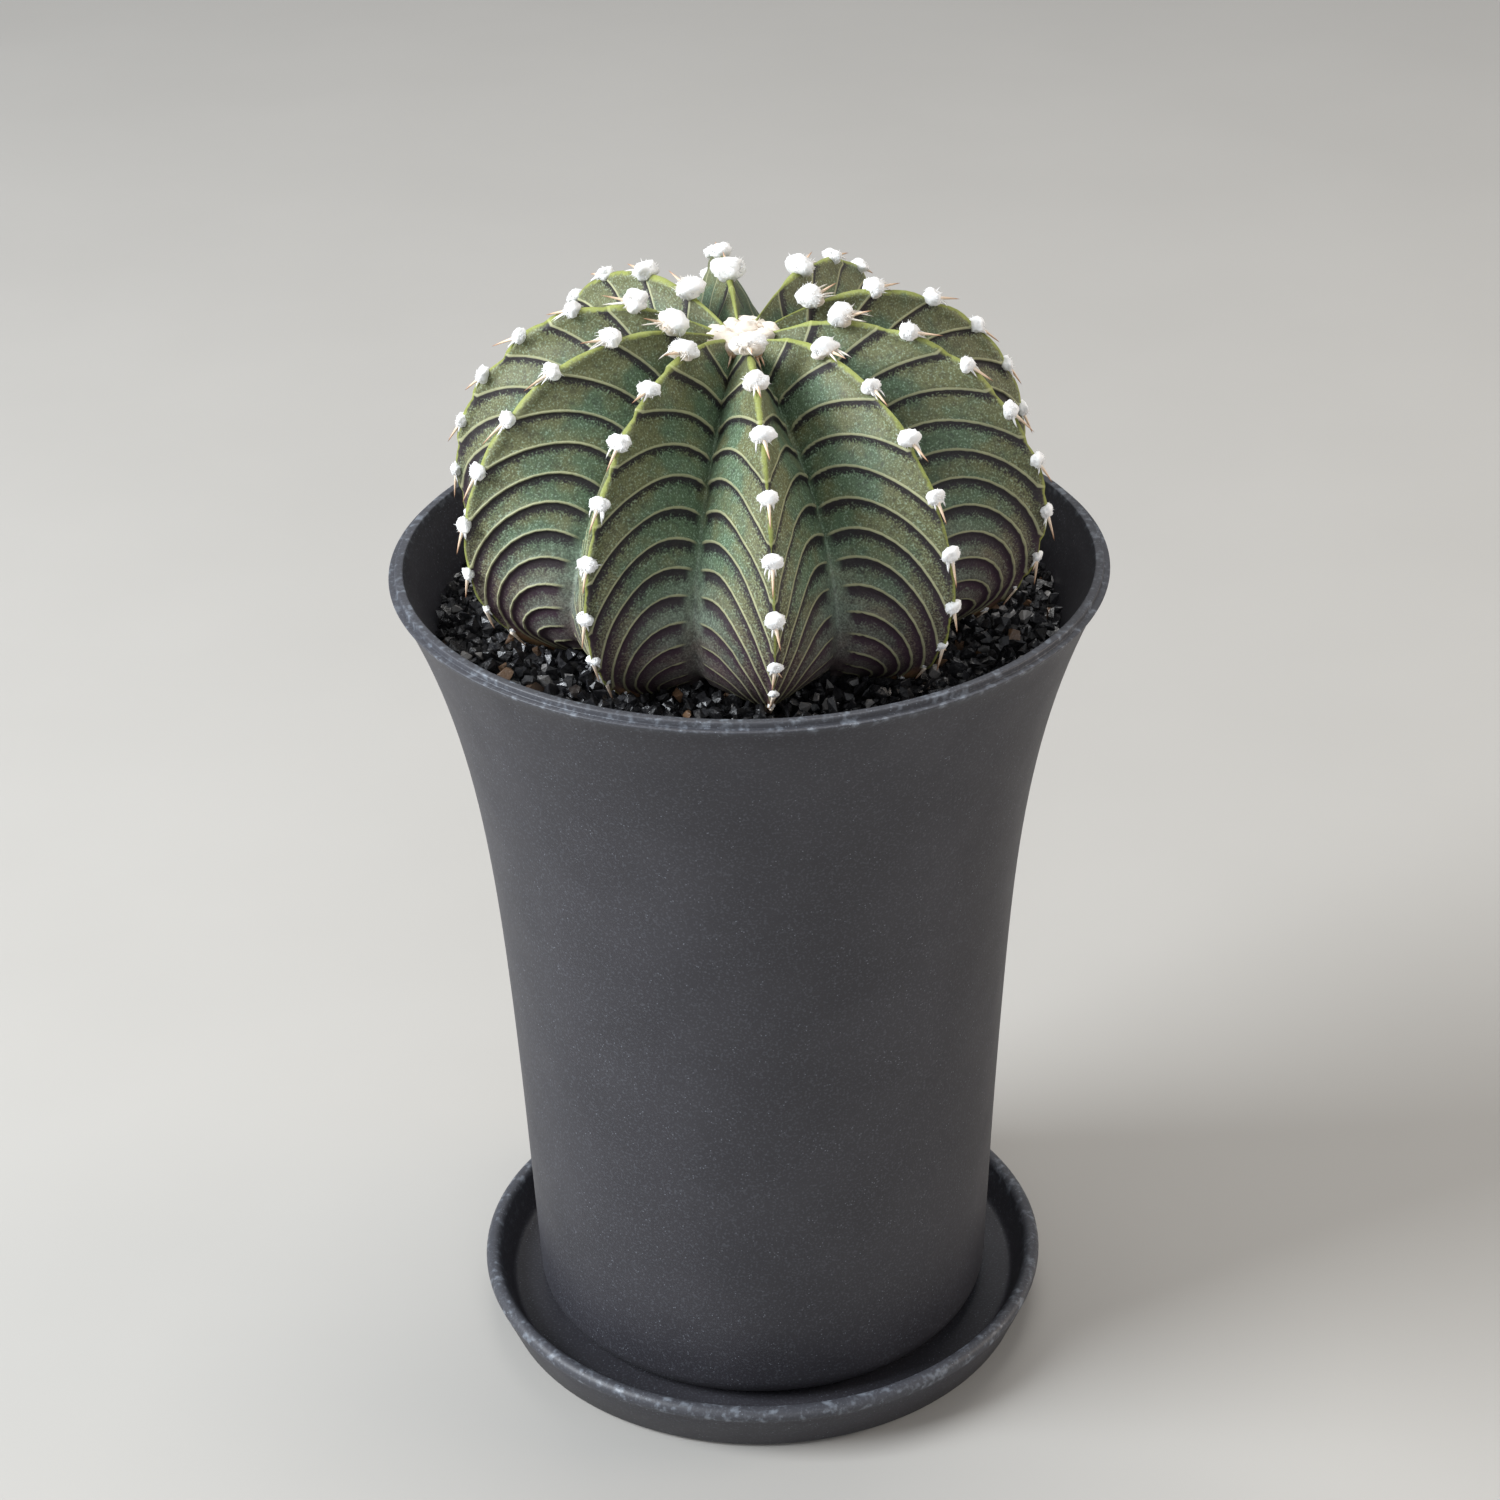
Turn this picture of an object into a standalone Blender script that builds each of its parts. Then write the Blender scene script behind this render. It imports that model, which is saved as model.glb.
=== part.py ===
"""Potted round cactus: a ten-ribbed globe in a slim flared pot that stands on a saucer.

Units are metres and +Z is up. The origin is the middle of the saucer's underside.
The plant's heights are counted from the pot's rim, which is the level they are easiest
to read against.
"""

import math

import bmesh
import bpy
from mathutils import Matrix, Vector

MM = 0.001
GAP = 0.3 * MM

# Saucer: a shallow dish on a ring foot, with a rolled lip.
SAUCER_LIP_RADIUS = 38.5 * MM
SAUCER_FOOT_RADIUS = 34.7 * MM
SAUCER_HEIGHT = 7.9 * MM
SAUCER_FLOOR_TOP = 3.2 * MM
SAUCER_RECESS = 1.2 * MM
SAUCER_FOOT_WIDTH = 3.2 * MM
SAUCER_FLOOR_RADIUS = 34.4 * MM
SAUCER_LIP_WIDTH = 2.1 * MM
SAUCER_CORNER = 0.7 * MM

# Pot: a tapered cup that flares out under a two-step rim.
POT_BOTTOM = SAUCER_FLOOR_TOP + GAP
POT_RIM_HEIGHT = 113.5 * MM
POT_RIM_RADIUS = 45.0 * MM
POT_BASE_RADIUS = 30.7 * MM
POT_TAPER = 4.6 * MM
POT_FLARE_POWER = 5
POT_CORNER = 3.2 * MM
POT_WALL = 2.0 * MM
POT_FLOOR = 2.4 * MM
POT_FOOT_RECESS = 1.0 * MM
POT_FOOT_WIDTH = 3.0 * MM
POT_DRAIN_RADIUS = 5.0 * MM
RIM_STEP = 0.8 * MM
RIM_RING = 1.1 * MM
RIM_EDGE = 0.3 * MM
# Above 1, the rows of the wall crowd towards the top, where it flares.
ROW_CROWDING = 1.6

# Fill: potting soil with a layer of lava grit on top.
GRIT_AT_WALL = -8.0 * MM
GRIT_AT_PLANT = -6.4 * MM
GRIT_DEPTH = 6.0 * MM
GRIT_HEAP_RADIUS = 30.0 * MM
GRIT_SLOPE_RADIUS = 36.0 * MM
GRIT_EDGE_WIDTH = 1.0 * MM
GRIT_EDGE_DROP = 0.6 * MM

# Plant: the ridge and the valley beside it, station by station from the crown down to the
# root neck, as (ridge radius, ridge height, valley radius, valley height) in millimetres,
# with heights counted from the pot's rim.
STATIONS_MM = (
    (1.2, 29.0, 1.2, 28.9),
    (5.0, 30.8, 5.0, 27.9),
    (10.0, 32.1, 9.0, 26.2),
    (15.6, 32.1, 13.0, 23.7),
    (21.2, 30.8, 16.8, 21.1),
    (26.3, 28.2, 20.0, 18.4),
    (30.5, 24.3, 23.0, 15.0),
    (33.8, 19.6, 25.2, 11.6),
    (35.9, 14.3, 26.7, 8.0),
    (36.6, 8.6, 27.7, 4.4),
    (35.5, 3.1, 28.1, 1.2),
    (33.1, -1.0, 27.2, -1.6),
    (29.5, -4.5, 24.6, -3.8),
    (24.8, -7.8, 20.8, -6.2),
    (18.5, -11.5, 16.8, -9.6),
    (11.5, -16.0, 11.0, -15.0),
    (6.0, -20.5, 6.0, -20.5),
)
RIB_COUNT = 10
FIRST_RIB_DEG = -85.0
# How far each rib has strayed from even spacing, in degrees, and its girth beside the mean.
RIB_STRAY_DEG = (0.0, -0.5, -1.1, -2.2, -0.5, 1.9, 2.4, 2.7, 1.3, 0.7)
RIB_GIRTH = (1.005, 1.0, 1.01, 1.015, 1.015, 1.0, 0.985, 0.975, 0.99, 0.99)
PLANT_LEAN_DEG = 2.4
PLANT_SHIFT = -0.45 * MM
# A flank is flat at 0, and at 1 it is as round as a turned form.
FLANK_BULGE = 0.2
# The ribs reach their own girth by this station, and are widest at the next one.
GIRTH_STATION = 3
WIDEST_STATION = 8
FLANK_STEPS = 3
ROWS_PER_STATION = 2
SHORT_STEP = 0.05

# Areoles: woolly cushions strung along each ridge, every one with a spine. A rib's first
# areole lies a little further down the ridge from rib to rib.
AREOLE_START = (0.2, 0.75, 0.4, 0.0, 0.6, 0.3, 0.0, 0.5, 0.0, 0.55)
AREOLES_MODELLED = 5
AREOLE_FIRST_STATION = 1.75
AREOLE_PITCH = 1.45
AREOLE_CROWDING = 0.03
TUFT_RADIUS = 1.2 * MM
SPINE_LENGTH = 3.0 * MM
SPINE_RADIUS = 0.22 * MM
SPINE_TILT_DEG = 16.0
SPINE_SHOULDER = 0.5 * MM
# The ball's outline, in degrees above its equator, down to where the spine leaves it.
TUFT_TOP_DEG = 90
TUFT_BOTTOM_DEG = -65

# Crown wool: the felted heap over the growing point.
CROWN_WOOL_RADIUS = 5.4 * MM
CROWN_WOOL_RISE = 3.9 * MM

# Taproot under the neck, and the side roots that leave it.
ROOT_TOP = -21.4 * MM
ROOT_RADIUS = 5.4 * MM
ROOT_LENGTH = 48.0 * MM
SIDE_ROOT_COUNT = 5
SIDE_ROOT_RADIUS = 0.9 * MM
SIDE_ROOT_REACH = 21.0 * MM
SIDE_ROOT_TURN = 0.4
SIDE_ROOT_START = 8.0 * MM
SIDE_ROOT_SPACING = 5.0 * MM
SIDE_ROOT_DROP = 10.0 * MM
SIDE_ROOT_DROP_POWER = 1.7
SIDE_ROOT_INSIDE = 1.0 * MM
# Side roots wander about their heading by this angle, in radians, along a wave.
SIDE_ROOT_WANDER = 0.35
SIDE_ROOT_WAVE = 3.0
ROOT_TIP_RADIUS = 0.5 * MM
ROOT_TAPER_POWER = 0.8
ROOT_SWELLING = 0.12
ROOT_SWELLING_WAVE = 9.0
ROOT_CLEARANCE = 0.35 * MM

TURNING_STEPS = 40


def clear_scene():
    """Remove every object, so that the model starts from an empty scene."""
    for obj in list(bpy.data.objects):
        bpy.data.objects.remove(obj, do_unlink=True)


def make_collection(name):
    """Add a collection to the scene."""
    collection = bpy.data.collections.new(name)
    bpy.context.scene.collection.children.link(collection)
    return collection


def make_material(name, colour, roughness):
    """Make a non-metallic Principled material."""
    material = bpy.data.materials.new(name)
    material.use_nodes = True
    shader = material.node_tree.nodes["Principled BSDF"]
    shader.inputs["Base Color"].default_value = (*colour, 1.0)
    shader.inputs["Roughness"].default_value = roughness
    shader.inputs["Metallic"].default_value = 0.0
    return material


def add_object(name, mesh, collection, material=None):
    """Wrap a mesh in an object and shade it smooth up to a crease angle."""
    obj = bpy.data.objects.new(name, mesh)
    collection.objects.link(obj)
    if material:
        mesh.materials.append(material)
    mesh.shade_smooth()
    mesh.set_sharp_from_angle(angle=math.radians(40))
    return obj


def hide_cutter(obj):
    """Keep a cutter out of the model and out of renders."""
    obj.hide_render = True
    obj.display_type = "WIRE"


def turned(name, profile, collection, material=None, closed=False, steps=TURNING_STEPS):
    """Turn a profile of (radius, height) points, listed down its outer side, about Z."""
    mesh = bpy.data.meshes.new(name)
    vertices = [(radius, 0.0, height) for radius, height in profile]
    edges = [(i, i + 1) for i in range(len(vertices) - 1)]
    if closed:
        edges.append((len(vertices) - 1, 0))
    mesh.from_pydata(vertices, edges, [])
    obj = add_object(name, mesh, collection, material)
    screw = obj.modifiers.new("Turn", "SCREW")
    screw.axis = "Z"
    screw.steps = steps
    screw.render_steps = steps
    screw.use_merge_vertices = True
    screw.merge_threshold = 0.00001
    screw.use_smooth_shade = True
    return obj


def cut(obj, cutter):
    """Take a cutter's volume away from an object."""
    boolean = obj.modifiers.new("Cut " + cutter.name, "BOOLEAN")
    boolean.operation = "DIFFERENCE"
    boolean.object = cutter


def arc(centre, radius, start_deg, end_deg, count):
    """Points along an arc in the profile plane, both ends included."""
    points = []
    for i in range(count):
        angle = math.radians(start_deg + (end_deg - start_deg) * i / (count - 1))
        points.append((centre[0] + radius * math.cos(angle), centre[1] + radius * math.sin(angle)))
    return points


# ---- saucer and pot ----


def saucer_profile():
    """The saucer's outline: out over its floor, up to the lip, and down its outer side."""
    bead = SAUCER_LIP_WIDTH / 2
    lip_centre = (SAUCER_LIP_RADIUS - bead, SAUCER_HEIGHT - bead)
    inner_foot = SAUCER_FOOT_RADIUS - SAUCER_FOOT_WIDTH
    corner = SAUCER_CORNER
    points = [(0.0, SAUCER_FLOOR_TOP), (SAUCER_FLOOR_RADIUS, SAUCER_FLOOR_TOP)]
    points += [(SAUCER_FLOOR_RADIUS + corner, SAUCER_FLOOR_TOP + corner)]
    points += arc(lip_centre, bead, 190, -30, 7)
    points += [(SAUCER_FOOT_RADIUS + corner, corner), (SAUCER_FOOT_RADIUS, 0.0)]
    points += [(inner_foot, 0.0), (inner_foot - SAUCER_RECESS, SAUCER_RECESS), (0.0, SAUCER_RECESS)]
    return points


def pot_outer_radius(height):
    """Outer radius of the pot's wall: an even taper with a flare that grows towards the rim."""
    share = (height - POT_BOTTOM) / (POT_RIM_HEIGHT - POT_BOTTOM)
    flare = POT_RIM_RADIUS - POT_BASE_RADIUS - POT_TAPER
    return POT_BASE_RADIUS + POT_TAPER * share + flare * share**POT_FLARE_POWER


def pot_heights(low, high, count):
    """Heights between two levels, closer together towards the top, where the wall flares."""
    return [low + (high - low) * (1 - (1 - i / (count - 1)) ** ROW_CROWDING) for i in range(count)]


def pot_profile():
    """The pot's closed outline: stepped rim, outer wall, foot, drain hole and inner wall."""
    rim = POT_RIM_HEIGHT
    inner_rim = POT_RIM_RADIUS - POT_WALL
    edge = RIM_EDGE
    points = [
        (inner_rim + edge, rim),
        (inner_rim + RIM_RING - edge, rim),
        (inner_rim + RIM_RING, rim - edge),
        (inner_rim + RIM_RING, rim - RIM_STEP),
        (POT_RIM_RADIUS - edge, rim - RIM_STEP),
        (POT_RIM_RADIUS, rim - RIM_STEP - edge),
    ]
    wall_foot = POT_BOTTOM + POT_CORNER
    outer = pot_heights(wall_foot, rim - 3 * RIM_STEP, 12)
    points += [(pot_outer_radius(height), height) for height in reversed(outer)]
    corner_radius = pot_outer_radius(wall_foot) - POT_CORNER
    points += arc((corner_radius, wall_foot), POT_CORNER, -30, -90, 3)
    ring_inner = corner_radius - POT_FOOT_WIDTH
    points += [
        (ring_inner, POT_BOTTOM),
        (ring_inner - POT_FOOT_RECESS, POT_BOTTOM + POT_FOOT_RECESS),
        (POT_DRAIN_RADIUS, POT_BOTTOM + POT_FOOT_RECESS),
        (POT_DRAIN_RADIUS, POT_BOTTOM + POT_FOOT_RECESS + POT_FLOOR),
    ]
    inner_floor = POT_BOTTOM + POT_FOOT_RECESS + POT_FLOOR
    points += [(corner_radius - POT_WALL, inner_floor)]
    inner = pot_heights(wall_foot + POT_WALL, rim - edge, 10)
    points += [(pot_outer_radius(height) - POT_WALL, height) for height in inner]
    return points


# ---- soil and grit ----


def soil_profile():
    """The soil fills the pot from its floor up to the grit, clear of the wall by the gap."""
    low = POT_BOTTOM + POT_FOOT_RECESS + POT_FLOOR + GAP
    high = POT_RIM_HEIGHT + GRIT_AT_WALL - GRIT_DEPTH
    heights = pot_heights(low + POT_WALL, high, 7)
    side = [(pot_outer_radius(height) - POT_WALL - 2 * GAP, height) for height in reversed(heights)]
    return [(0.0, high)] + side + [(side[-1][0] - POT_CORNER, low), (0.0, low)]


def grit_profile():
    """The grit lies on the soil and heaps up a little towards the plant."""
    low = POT_RIM_HEIGHT + GRIT_AT_WALL - GRIT_DEPTH + GAP
    wall_top = POT_RIM_HEIGHT + GRIT_AT_WALL
    plant_top = POT_RIM_HEIGHT + GRIT_AT_PLANT
    wall_radius = pot_outer_radius(wall_top) - POT_WALL - 2 * GAP
    low_radius = pot_outer_radius(low) - POT_WALL - 2 * GAP
    return [
        (0.0, plant_top),
        (GRIT_HEAP_RADIUS, plant_top),
        (GRIT_SLOPE_RADIUS, (plant_top + wall_top) / 2),
        (wall_radius - GRIT_EDGE_WIDTH, wall_top),
        (wall_radius, wall_top - GRIT_EDGE_DROP),
        (low_radius, low),
        (0.0, low),
    ]


# ---- plant ----


def smooth_station(position):
    """Read the station list at a fractional position, on a curve through its points."""
    last = len(STATIONS_MM) - 1
    index = min(int(position), last - 1)
    share = position - index
    before, here = STATIONS_MM[max(index - 1, 0)], STATIONS_MM[index]
    there, after = STATIONS_MM[index + 1], STATIONS_MM[min(index + 2, last)]
    values = []
    for a, b, c, d in zip(before, here, there, after):
        slope_in, slope_out = (c - a) / 2, (d - b) / 2
        rise = c - b
        curve = (slope_in + slope_out - 2 * rise) * share**3
        curve += (3 * rise - 2 * slope_in - slope_out) * share**2
        values.append((curve + slope_in * share + b) * MM)
    return values


def rib_azimuth(rib):
    """Azimuth of a rib's ridge, in radians. Rib numbers wrap round."""
    number = rib % RIB_COUNT
    turns = rib // RIB_COUNT
    degrees = FIRST_RIB_DEG + 360 * turns + 360 * number / RIB_COUNT + RIB_STRAY_DEG[number]
    return math.radians(degrees)


def plant_matrix():
    """Sets the plant, whose heights count from the rim, in the pot with its lean and shift."""
    lean = Matrix.Rotation(math.radians(PLANT_LEAN_DEG), 4, "X")
    return Matrix.Translation((PLANT_SHIFT, 0.0, POT_RIM_HEIGHT)) @ lean


def skin_point(rib, side, across, position, grow=0.0):
    """A point on the plant's skin.

    The rib's flank on the given side (-1 or 1) runs from the valley (across 0) to the
    ridge (across 1), at a station position. Grow pushes the skin out by that much.
    """
    ridge_radius, ridge_height, valley_radius, valley_height = smooth_station(position)
    ridge_angle = rib_azimuth(rib)
    valley_angle = (ridge_angle + rib_azimuth(rib + side)) / 2
    fade = min(1.0, position / GIRTH_STATION)
    ridge_radius *= 1 + (RIB_GIRTH[rib % RIB_COUNT] - 1) * fade
    ridge = Vector((math.cos(ridge_angle), math.sin(ridge_angle))) * (ridge_radius + grow)
    valley = Vector((math.cos(valley_angle), math.sin(valley_angle))) * (valley_radius + grow)
    flat = valley.lerp(ridge, across)
    radius = valley_radius + (ridge_radius - valley_radius) * across + grow
    angle = valley_angle + (ridge_angle - valley_angle) * across
    turned_form = Vector((math.cos(angle), math.sin(angle))) * radius
    place = flat.lerp(turned_form, FLANK_BULGE)
    height = valley_height + (ridge_height - valley_height) * across
    height += grow if position < WIDEST_STATION else -grow
    return Vector((place.x, place.y, height))


def plant_mesh(name, grow=0.0):
    """Loft the ribbed skin from the crown to the root neck, closed at both ends."""
    mesh = bpy.data.meshes.new(name)
    shape = bmesh.new()
    last = len(STATIONS_MM) - 1
    row_count = last * ROWS_PER_STATION + 1
    rows = []
    for row in range(row_count):
        position = row / ROWS_PER_STATION
        ring = []
        for rib in range(RIB_COUNT):
            for step in range(FLANK_STEPS):
                ring.append(shape.verts.new(skin_point(rib, -1, step / FLANK_STEPS, position, grow)))
            for step in range(FLANK_STEPS):
                ring.append(shape.verts.new(skin_point(rib, 1, 1 - step / FLANK_STEPS, position, grow)))
        rows.append(ring)
    count = len(rows[0])
    for upper, lower in zip(rows, rows[1:]):
        for i in range(count):
            j = (i + 1) % count
            shape.faces.new((upper[i], lower[i], lower[j], upper[j]))
    top = shape.verts.new((0.0, 0.0, rows[0][0].co.z))
    bottom = shape.verts.new((0.0, 0.0, rows[-1][0].co.z))
    for i in range(count):
        j = (i + 1) % count
        shape.faces.new((top, rows[0][i], rows[0][j]))
        shape.faces.new((bottom, rows[-1][j], rows[-1][i]))
    shape.to_mesh(mesh)
    shape.free()
    return mesh


def areole_profile():
    """A woolly ball with its spine below, as a turned teardrop on the local Z axis."""
    ball = arc((0.0, 0.0), TUFT_RADIUS, TUFT_TOP_DEG, TUFT_BOTTOM_DEG, 5)
    ball[0] = (0.0, TUFT_RADIUS)
    shoulder = (SPINE_RADIUS, -TUFT_RADIUS - SPINE_SHOULDER)
    return ball + [shoulder, (0.0, -TUFT_RADIUS - SPINE_LENGTH)]


def areole_position(number):
    """Station of an areole on its ridge. The number may be fractional."""
    return AREOLE_FIRST_STATION + AREOLE_PITCH * number - AREOLE_CROWDING * number**2


def areole_matrix(rib, position):
    """Place of an areole just off the ridge, with its spine pointing out and down the rib."""
    here = skin_point(rib, 1, 1.0, position)
    along = (skin_point(rib, 1, 1.0, position + SHORT_STEP) - here).normalized()
    angle = rib_azimuth(rib)
    around = Vector((-math.sin(angle), math.cos(angle), 0.0))
    outward = along.cross(around).normalized()
    tilt = math.radians(SPINE_TILT_DEG)
    spine = along * math.cos(tilt) + outward * math.sin(tilt)
    turn = (-spine).to_track_quat("Z", "Y").to_matrix().to_4x4()
    place = here + outward * (TUFT_RADIUS + GAP)
    return plant_matrix() @ Matrix.Translation(place) @ turn


def root_profile(grow=0.0):
    """The taproot: a blunt cone that thins to a tip. A grown one also reaches up to the neck."""
    top = ROOT_TOP + 3 * grow
    bottom = ROOT_TOP - grow - ROOT_LENGTH
    points = [(0.0, top)]
    count = 7
    for i in range(count):
        share = i / (count - 1)
        swelling = 1 + ROOT_SWELLING * math.sin(ROOT_SWELLING_WAVE * share)
        radius = ROOT_RADIUS * (1 - share) ** ROOT_TAPER_POWER * swelling + ROOT_TIP_RADIUS
        points.append((radius + grow, top + (bottom - top) * share))
    points.append((0.0, bottom))
    return points


def side_root(index, collection, grow=0.0):
    """A side root as a drooping tube that starts inside the taproot, made a mesh."""
    angle = 2 * math.pi * index / SIDE_ROOT_COUNT + SIDE_ROOT_TURN
    start = ROOT_TOP - SIDE_ROOT_START - SIDE_ROOT_SPACING * index
    curve = bpy.data.curves.new("SideRoot", "CURVE")
    curve.dimensions = "3D"
    curve.bevel_depth = SIDE_ROOT_RADIUS + grow
    curve.bevel_resolution = 1
    curve.use_fill_caps = True
    spline = curve.splines.new("POLY")
    count = 6
    reach = SIDE_ROOT_REACH + grow
    spline.points.add(count - 1)
    for i, point in enumerate(spline.points):
        share = i / (count - 1)
        radius = SIDE_ROOT_INSIDE + (reach - SIDE_ROOT_INSIDE) * share
        turn = angle + SIDE_ROOT_WANDER * math.sin(SIDE_ROOT_WAVE * share)
        drop = SIDE_ROOT_DROP * share**SIDE_ROOT_DROP_POWER
        point.co = (radius * math.cos(turn), radius * math.sin(turn), start - drop, 1.0)
    guide = bpy.data.objects.new("SideRootGuide", curve)
    collection.objects.link(guide)
    bpy.context.view_layer.update()
    graph = bpy.context.evaluated_depsgraph_get()
    mesh = bpy.data.meshes.new_from_object(guide.evaluated_get(graph))
    shape = bmesh.new()
    shape.from_mesh(mesh)
    bmesh.ops.remove_doubles(shape, verts=shape.verts, dist=0.00001)
    bmesh.ops.recalc_face_normals(shape, faces=shape.faces)
    shape.to_mesh(mesh)
    shape.free()
    bpy.data.objects.remove(guide, do_unlink=True)
    obj = bpy.data.objects.new(f"side_root_{index + 1}", mesh)
    collection.objects.link(obj)
    hide_cutter(obj)
    return obj


def build_root(name, collection, cutters, material, grow=0.0):
    """The taproot with its side roots joined on."""
    root = turned(name, root_profile(grow), collection, material, steps=12)
    root.matrix_world = plant_matrix()
    for index in range(SIDE_ROOT_COUNT):
        branch = side_root(index, cutters, grow)
        branch.matrix_world = plant_matrix()
        join = root.modifiers.new(branch.name, "BOOLEAN")
        join.operation = "UNION"
        join.object = branch
    return root


def main():
    """Build the saucer, pot, fill and plant."""
    clear_scene()
    parts = make_collection("potted_round_cactus")
    cutters = make_collection("cutters")

    charcoal = make_material("charcoal_plastic", (0.045, 0.048, 0.055), 0.55)
    saucer_plastic = make_material("saucer_plastic", (0.04, 0.042, 0.048), 0.5)
    soil_mix = make_material("potting_soil", (0.05, 0.035, 0.025), 0.95)
    lava = make_material("lava_grit", (0.03, 0.03, 0.032), 0.8)
    skin = make_material("cactus_skin", (0.09, 0.13, 0.07), 0.55)
    root_bark = make_material("root_bark", (0.35, 0.25, 0.16), 0.85)
    wool = make_material("areole_wool", (0.85, 0.83, 0.78), 0.95)

    turned("saucer", saucer_profile(), parts, saucer_plastic)
    turned("pot", pot_profile(), parts, charcoal, closed=True)

    body = add_object("cactus_body", plant_mesh("cactus_body"), parts, skin)
    body.matrix_world = plant_matrix()
    body_cutter = add_object("body_cutter", plant_mesh("body_cutter", ROOT_CLEARANCE), cutters)
    body_cutter.matrix_world = plant_matrix()
    hide_cutter(body_cutter)

    build_root("taproot", parts, cutters, root_bark)
    root_cutter = build_root("root_cutter", cutters, cutters, None, ROOT_CLEARANCE)
    hide_cutter(root_cutter)

    soil = turned("potting_soil", soil_profile(), parts, soil_mix)
    cut(soil, body_cutter)
    cut(soil, root_cutter)
    grit = turned("grit_layer", grit_profile(), parts, lava)
    cut(grit, body_cutter)

    bpy.ops.mesh.primitive_uv_sphere_add(segments=20, ring_count=10, radius=1.0)
    crown = bpy.context.active_object
    crown.name = "crown_wool"
    crown.data.transform(Matrix.Diagonal((CROWN_WOOL_RADIUS, CROWN_WOOL_RADIUS, CROWN_WOOL_RISE, 1.0)))
    crown.data.materials.append(wool)
    crown.data.shade_smooth()
    crown.matrix_world = plant_matrix() @ Matrix.Translation((0.0, 0.0, STATIONS_MM[0][1] * MM))
    for collection in list(crown.users_collection):
        collection.objects.unlink(crown)
    parts.objects.link(crown)
    cut(crown, body_cutter)

    for rib in range(RIB_COUNT):
        for number in range(AREOLES_MODELLED):
            name = f"areole_rib{rib + 1:02d}_{number + 1}"
            position = areole_position(number + 1 + AREOLE_START[rib])
            areole = turned(name, areole_profile(), parts, wool, steps=6)
            areole.matrix_world = areole_matrix(rib, position)


main()
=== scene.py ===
"""Looks of a potted round cactus: banded ribs, woolly areoles, dark grit, charcoal pot and saucer.

Everything is in metres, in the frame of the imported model, with +Z up. The plant's own heights
are counted from the pot's rim, as a grower would read them.
"""

import logging
import math
from dataclasses import dataclass, field
from enum import Enum
from typing import Iterable, Sequence

import bmesh
import bpy
import numpy as np
from mathutils import Matrix, Vector


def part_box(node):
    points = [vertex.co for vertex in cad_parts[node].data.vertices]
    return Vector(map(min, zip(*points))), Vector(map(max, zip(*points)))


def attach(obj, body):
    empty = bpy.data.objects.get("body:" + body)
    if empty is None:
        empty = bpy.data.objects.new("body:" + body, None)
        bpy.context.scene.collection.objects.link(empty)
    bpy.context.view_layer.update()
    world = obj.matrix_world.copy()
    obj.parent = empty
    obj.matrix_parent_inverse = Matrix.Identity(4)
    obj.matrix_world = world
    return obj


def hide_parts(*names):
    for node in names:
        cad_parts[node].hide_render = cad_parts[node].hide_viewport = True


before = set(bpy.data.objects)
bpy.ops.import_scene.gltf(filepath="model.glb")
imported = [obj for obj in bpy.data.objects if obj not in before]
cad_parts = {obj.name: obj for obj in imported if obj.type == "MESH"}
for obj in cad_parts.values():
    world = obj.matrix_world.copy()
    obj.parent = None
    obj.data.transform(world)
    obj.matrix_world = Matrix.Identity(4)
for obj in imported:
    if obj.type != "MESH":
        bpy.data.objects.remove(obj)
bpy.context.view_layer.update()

MM = 0.001
BODY = "root"
LOG = logging.getLogger("potted_cactus")

Colour = tuple[float, float, float]


def screen(red: int, green: int, blue: int) -> Colour:
    """Turn a colour as a screen shows it, 0 to 255 a channel, into the linear light shaders use."""
    channels = []
    for level in (red, green, blue):
        share = level / 255
        channels.append(share / 12.92 if share <= 0.04045 else ((share + 0.055) / 1.055) ** 2.4)
    return (channels[0], channels[1], channels[2])


def ease(values: np.ndarray | float, start: float = 0.0, end: float = 1.0) -> np.ndarray:
    """Rise smoothly from 0 at start to 1 at end, and stay level outside them."""
    share = np.clip((np.asarray(values, float) - start) / (end - start), 0.0, 1.0)
    return share * share * (3.0 - 2.0 * share)


# ---- shader expressions ----


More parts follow.
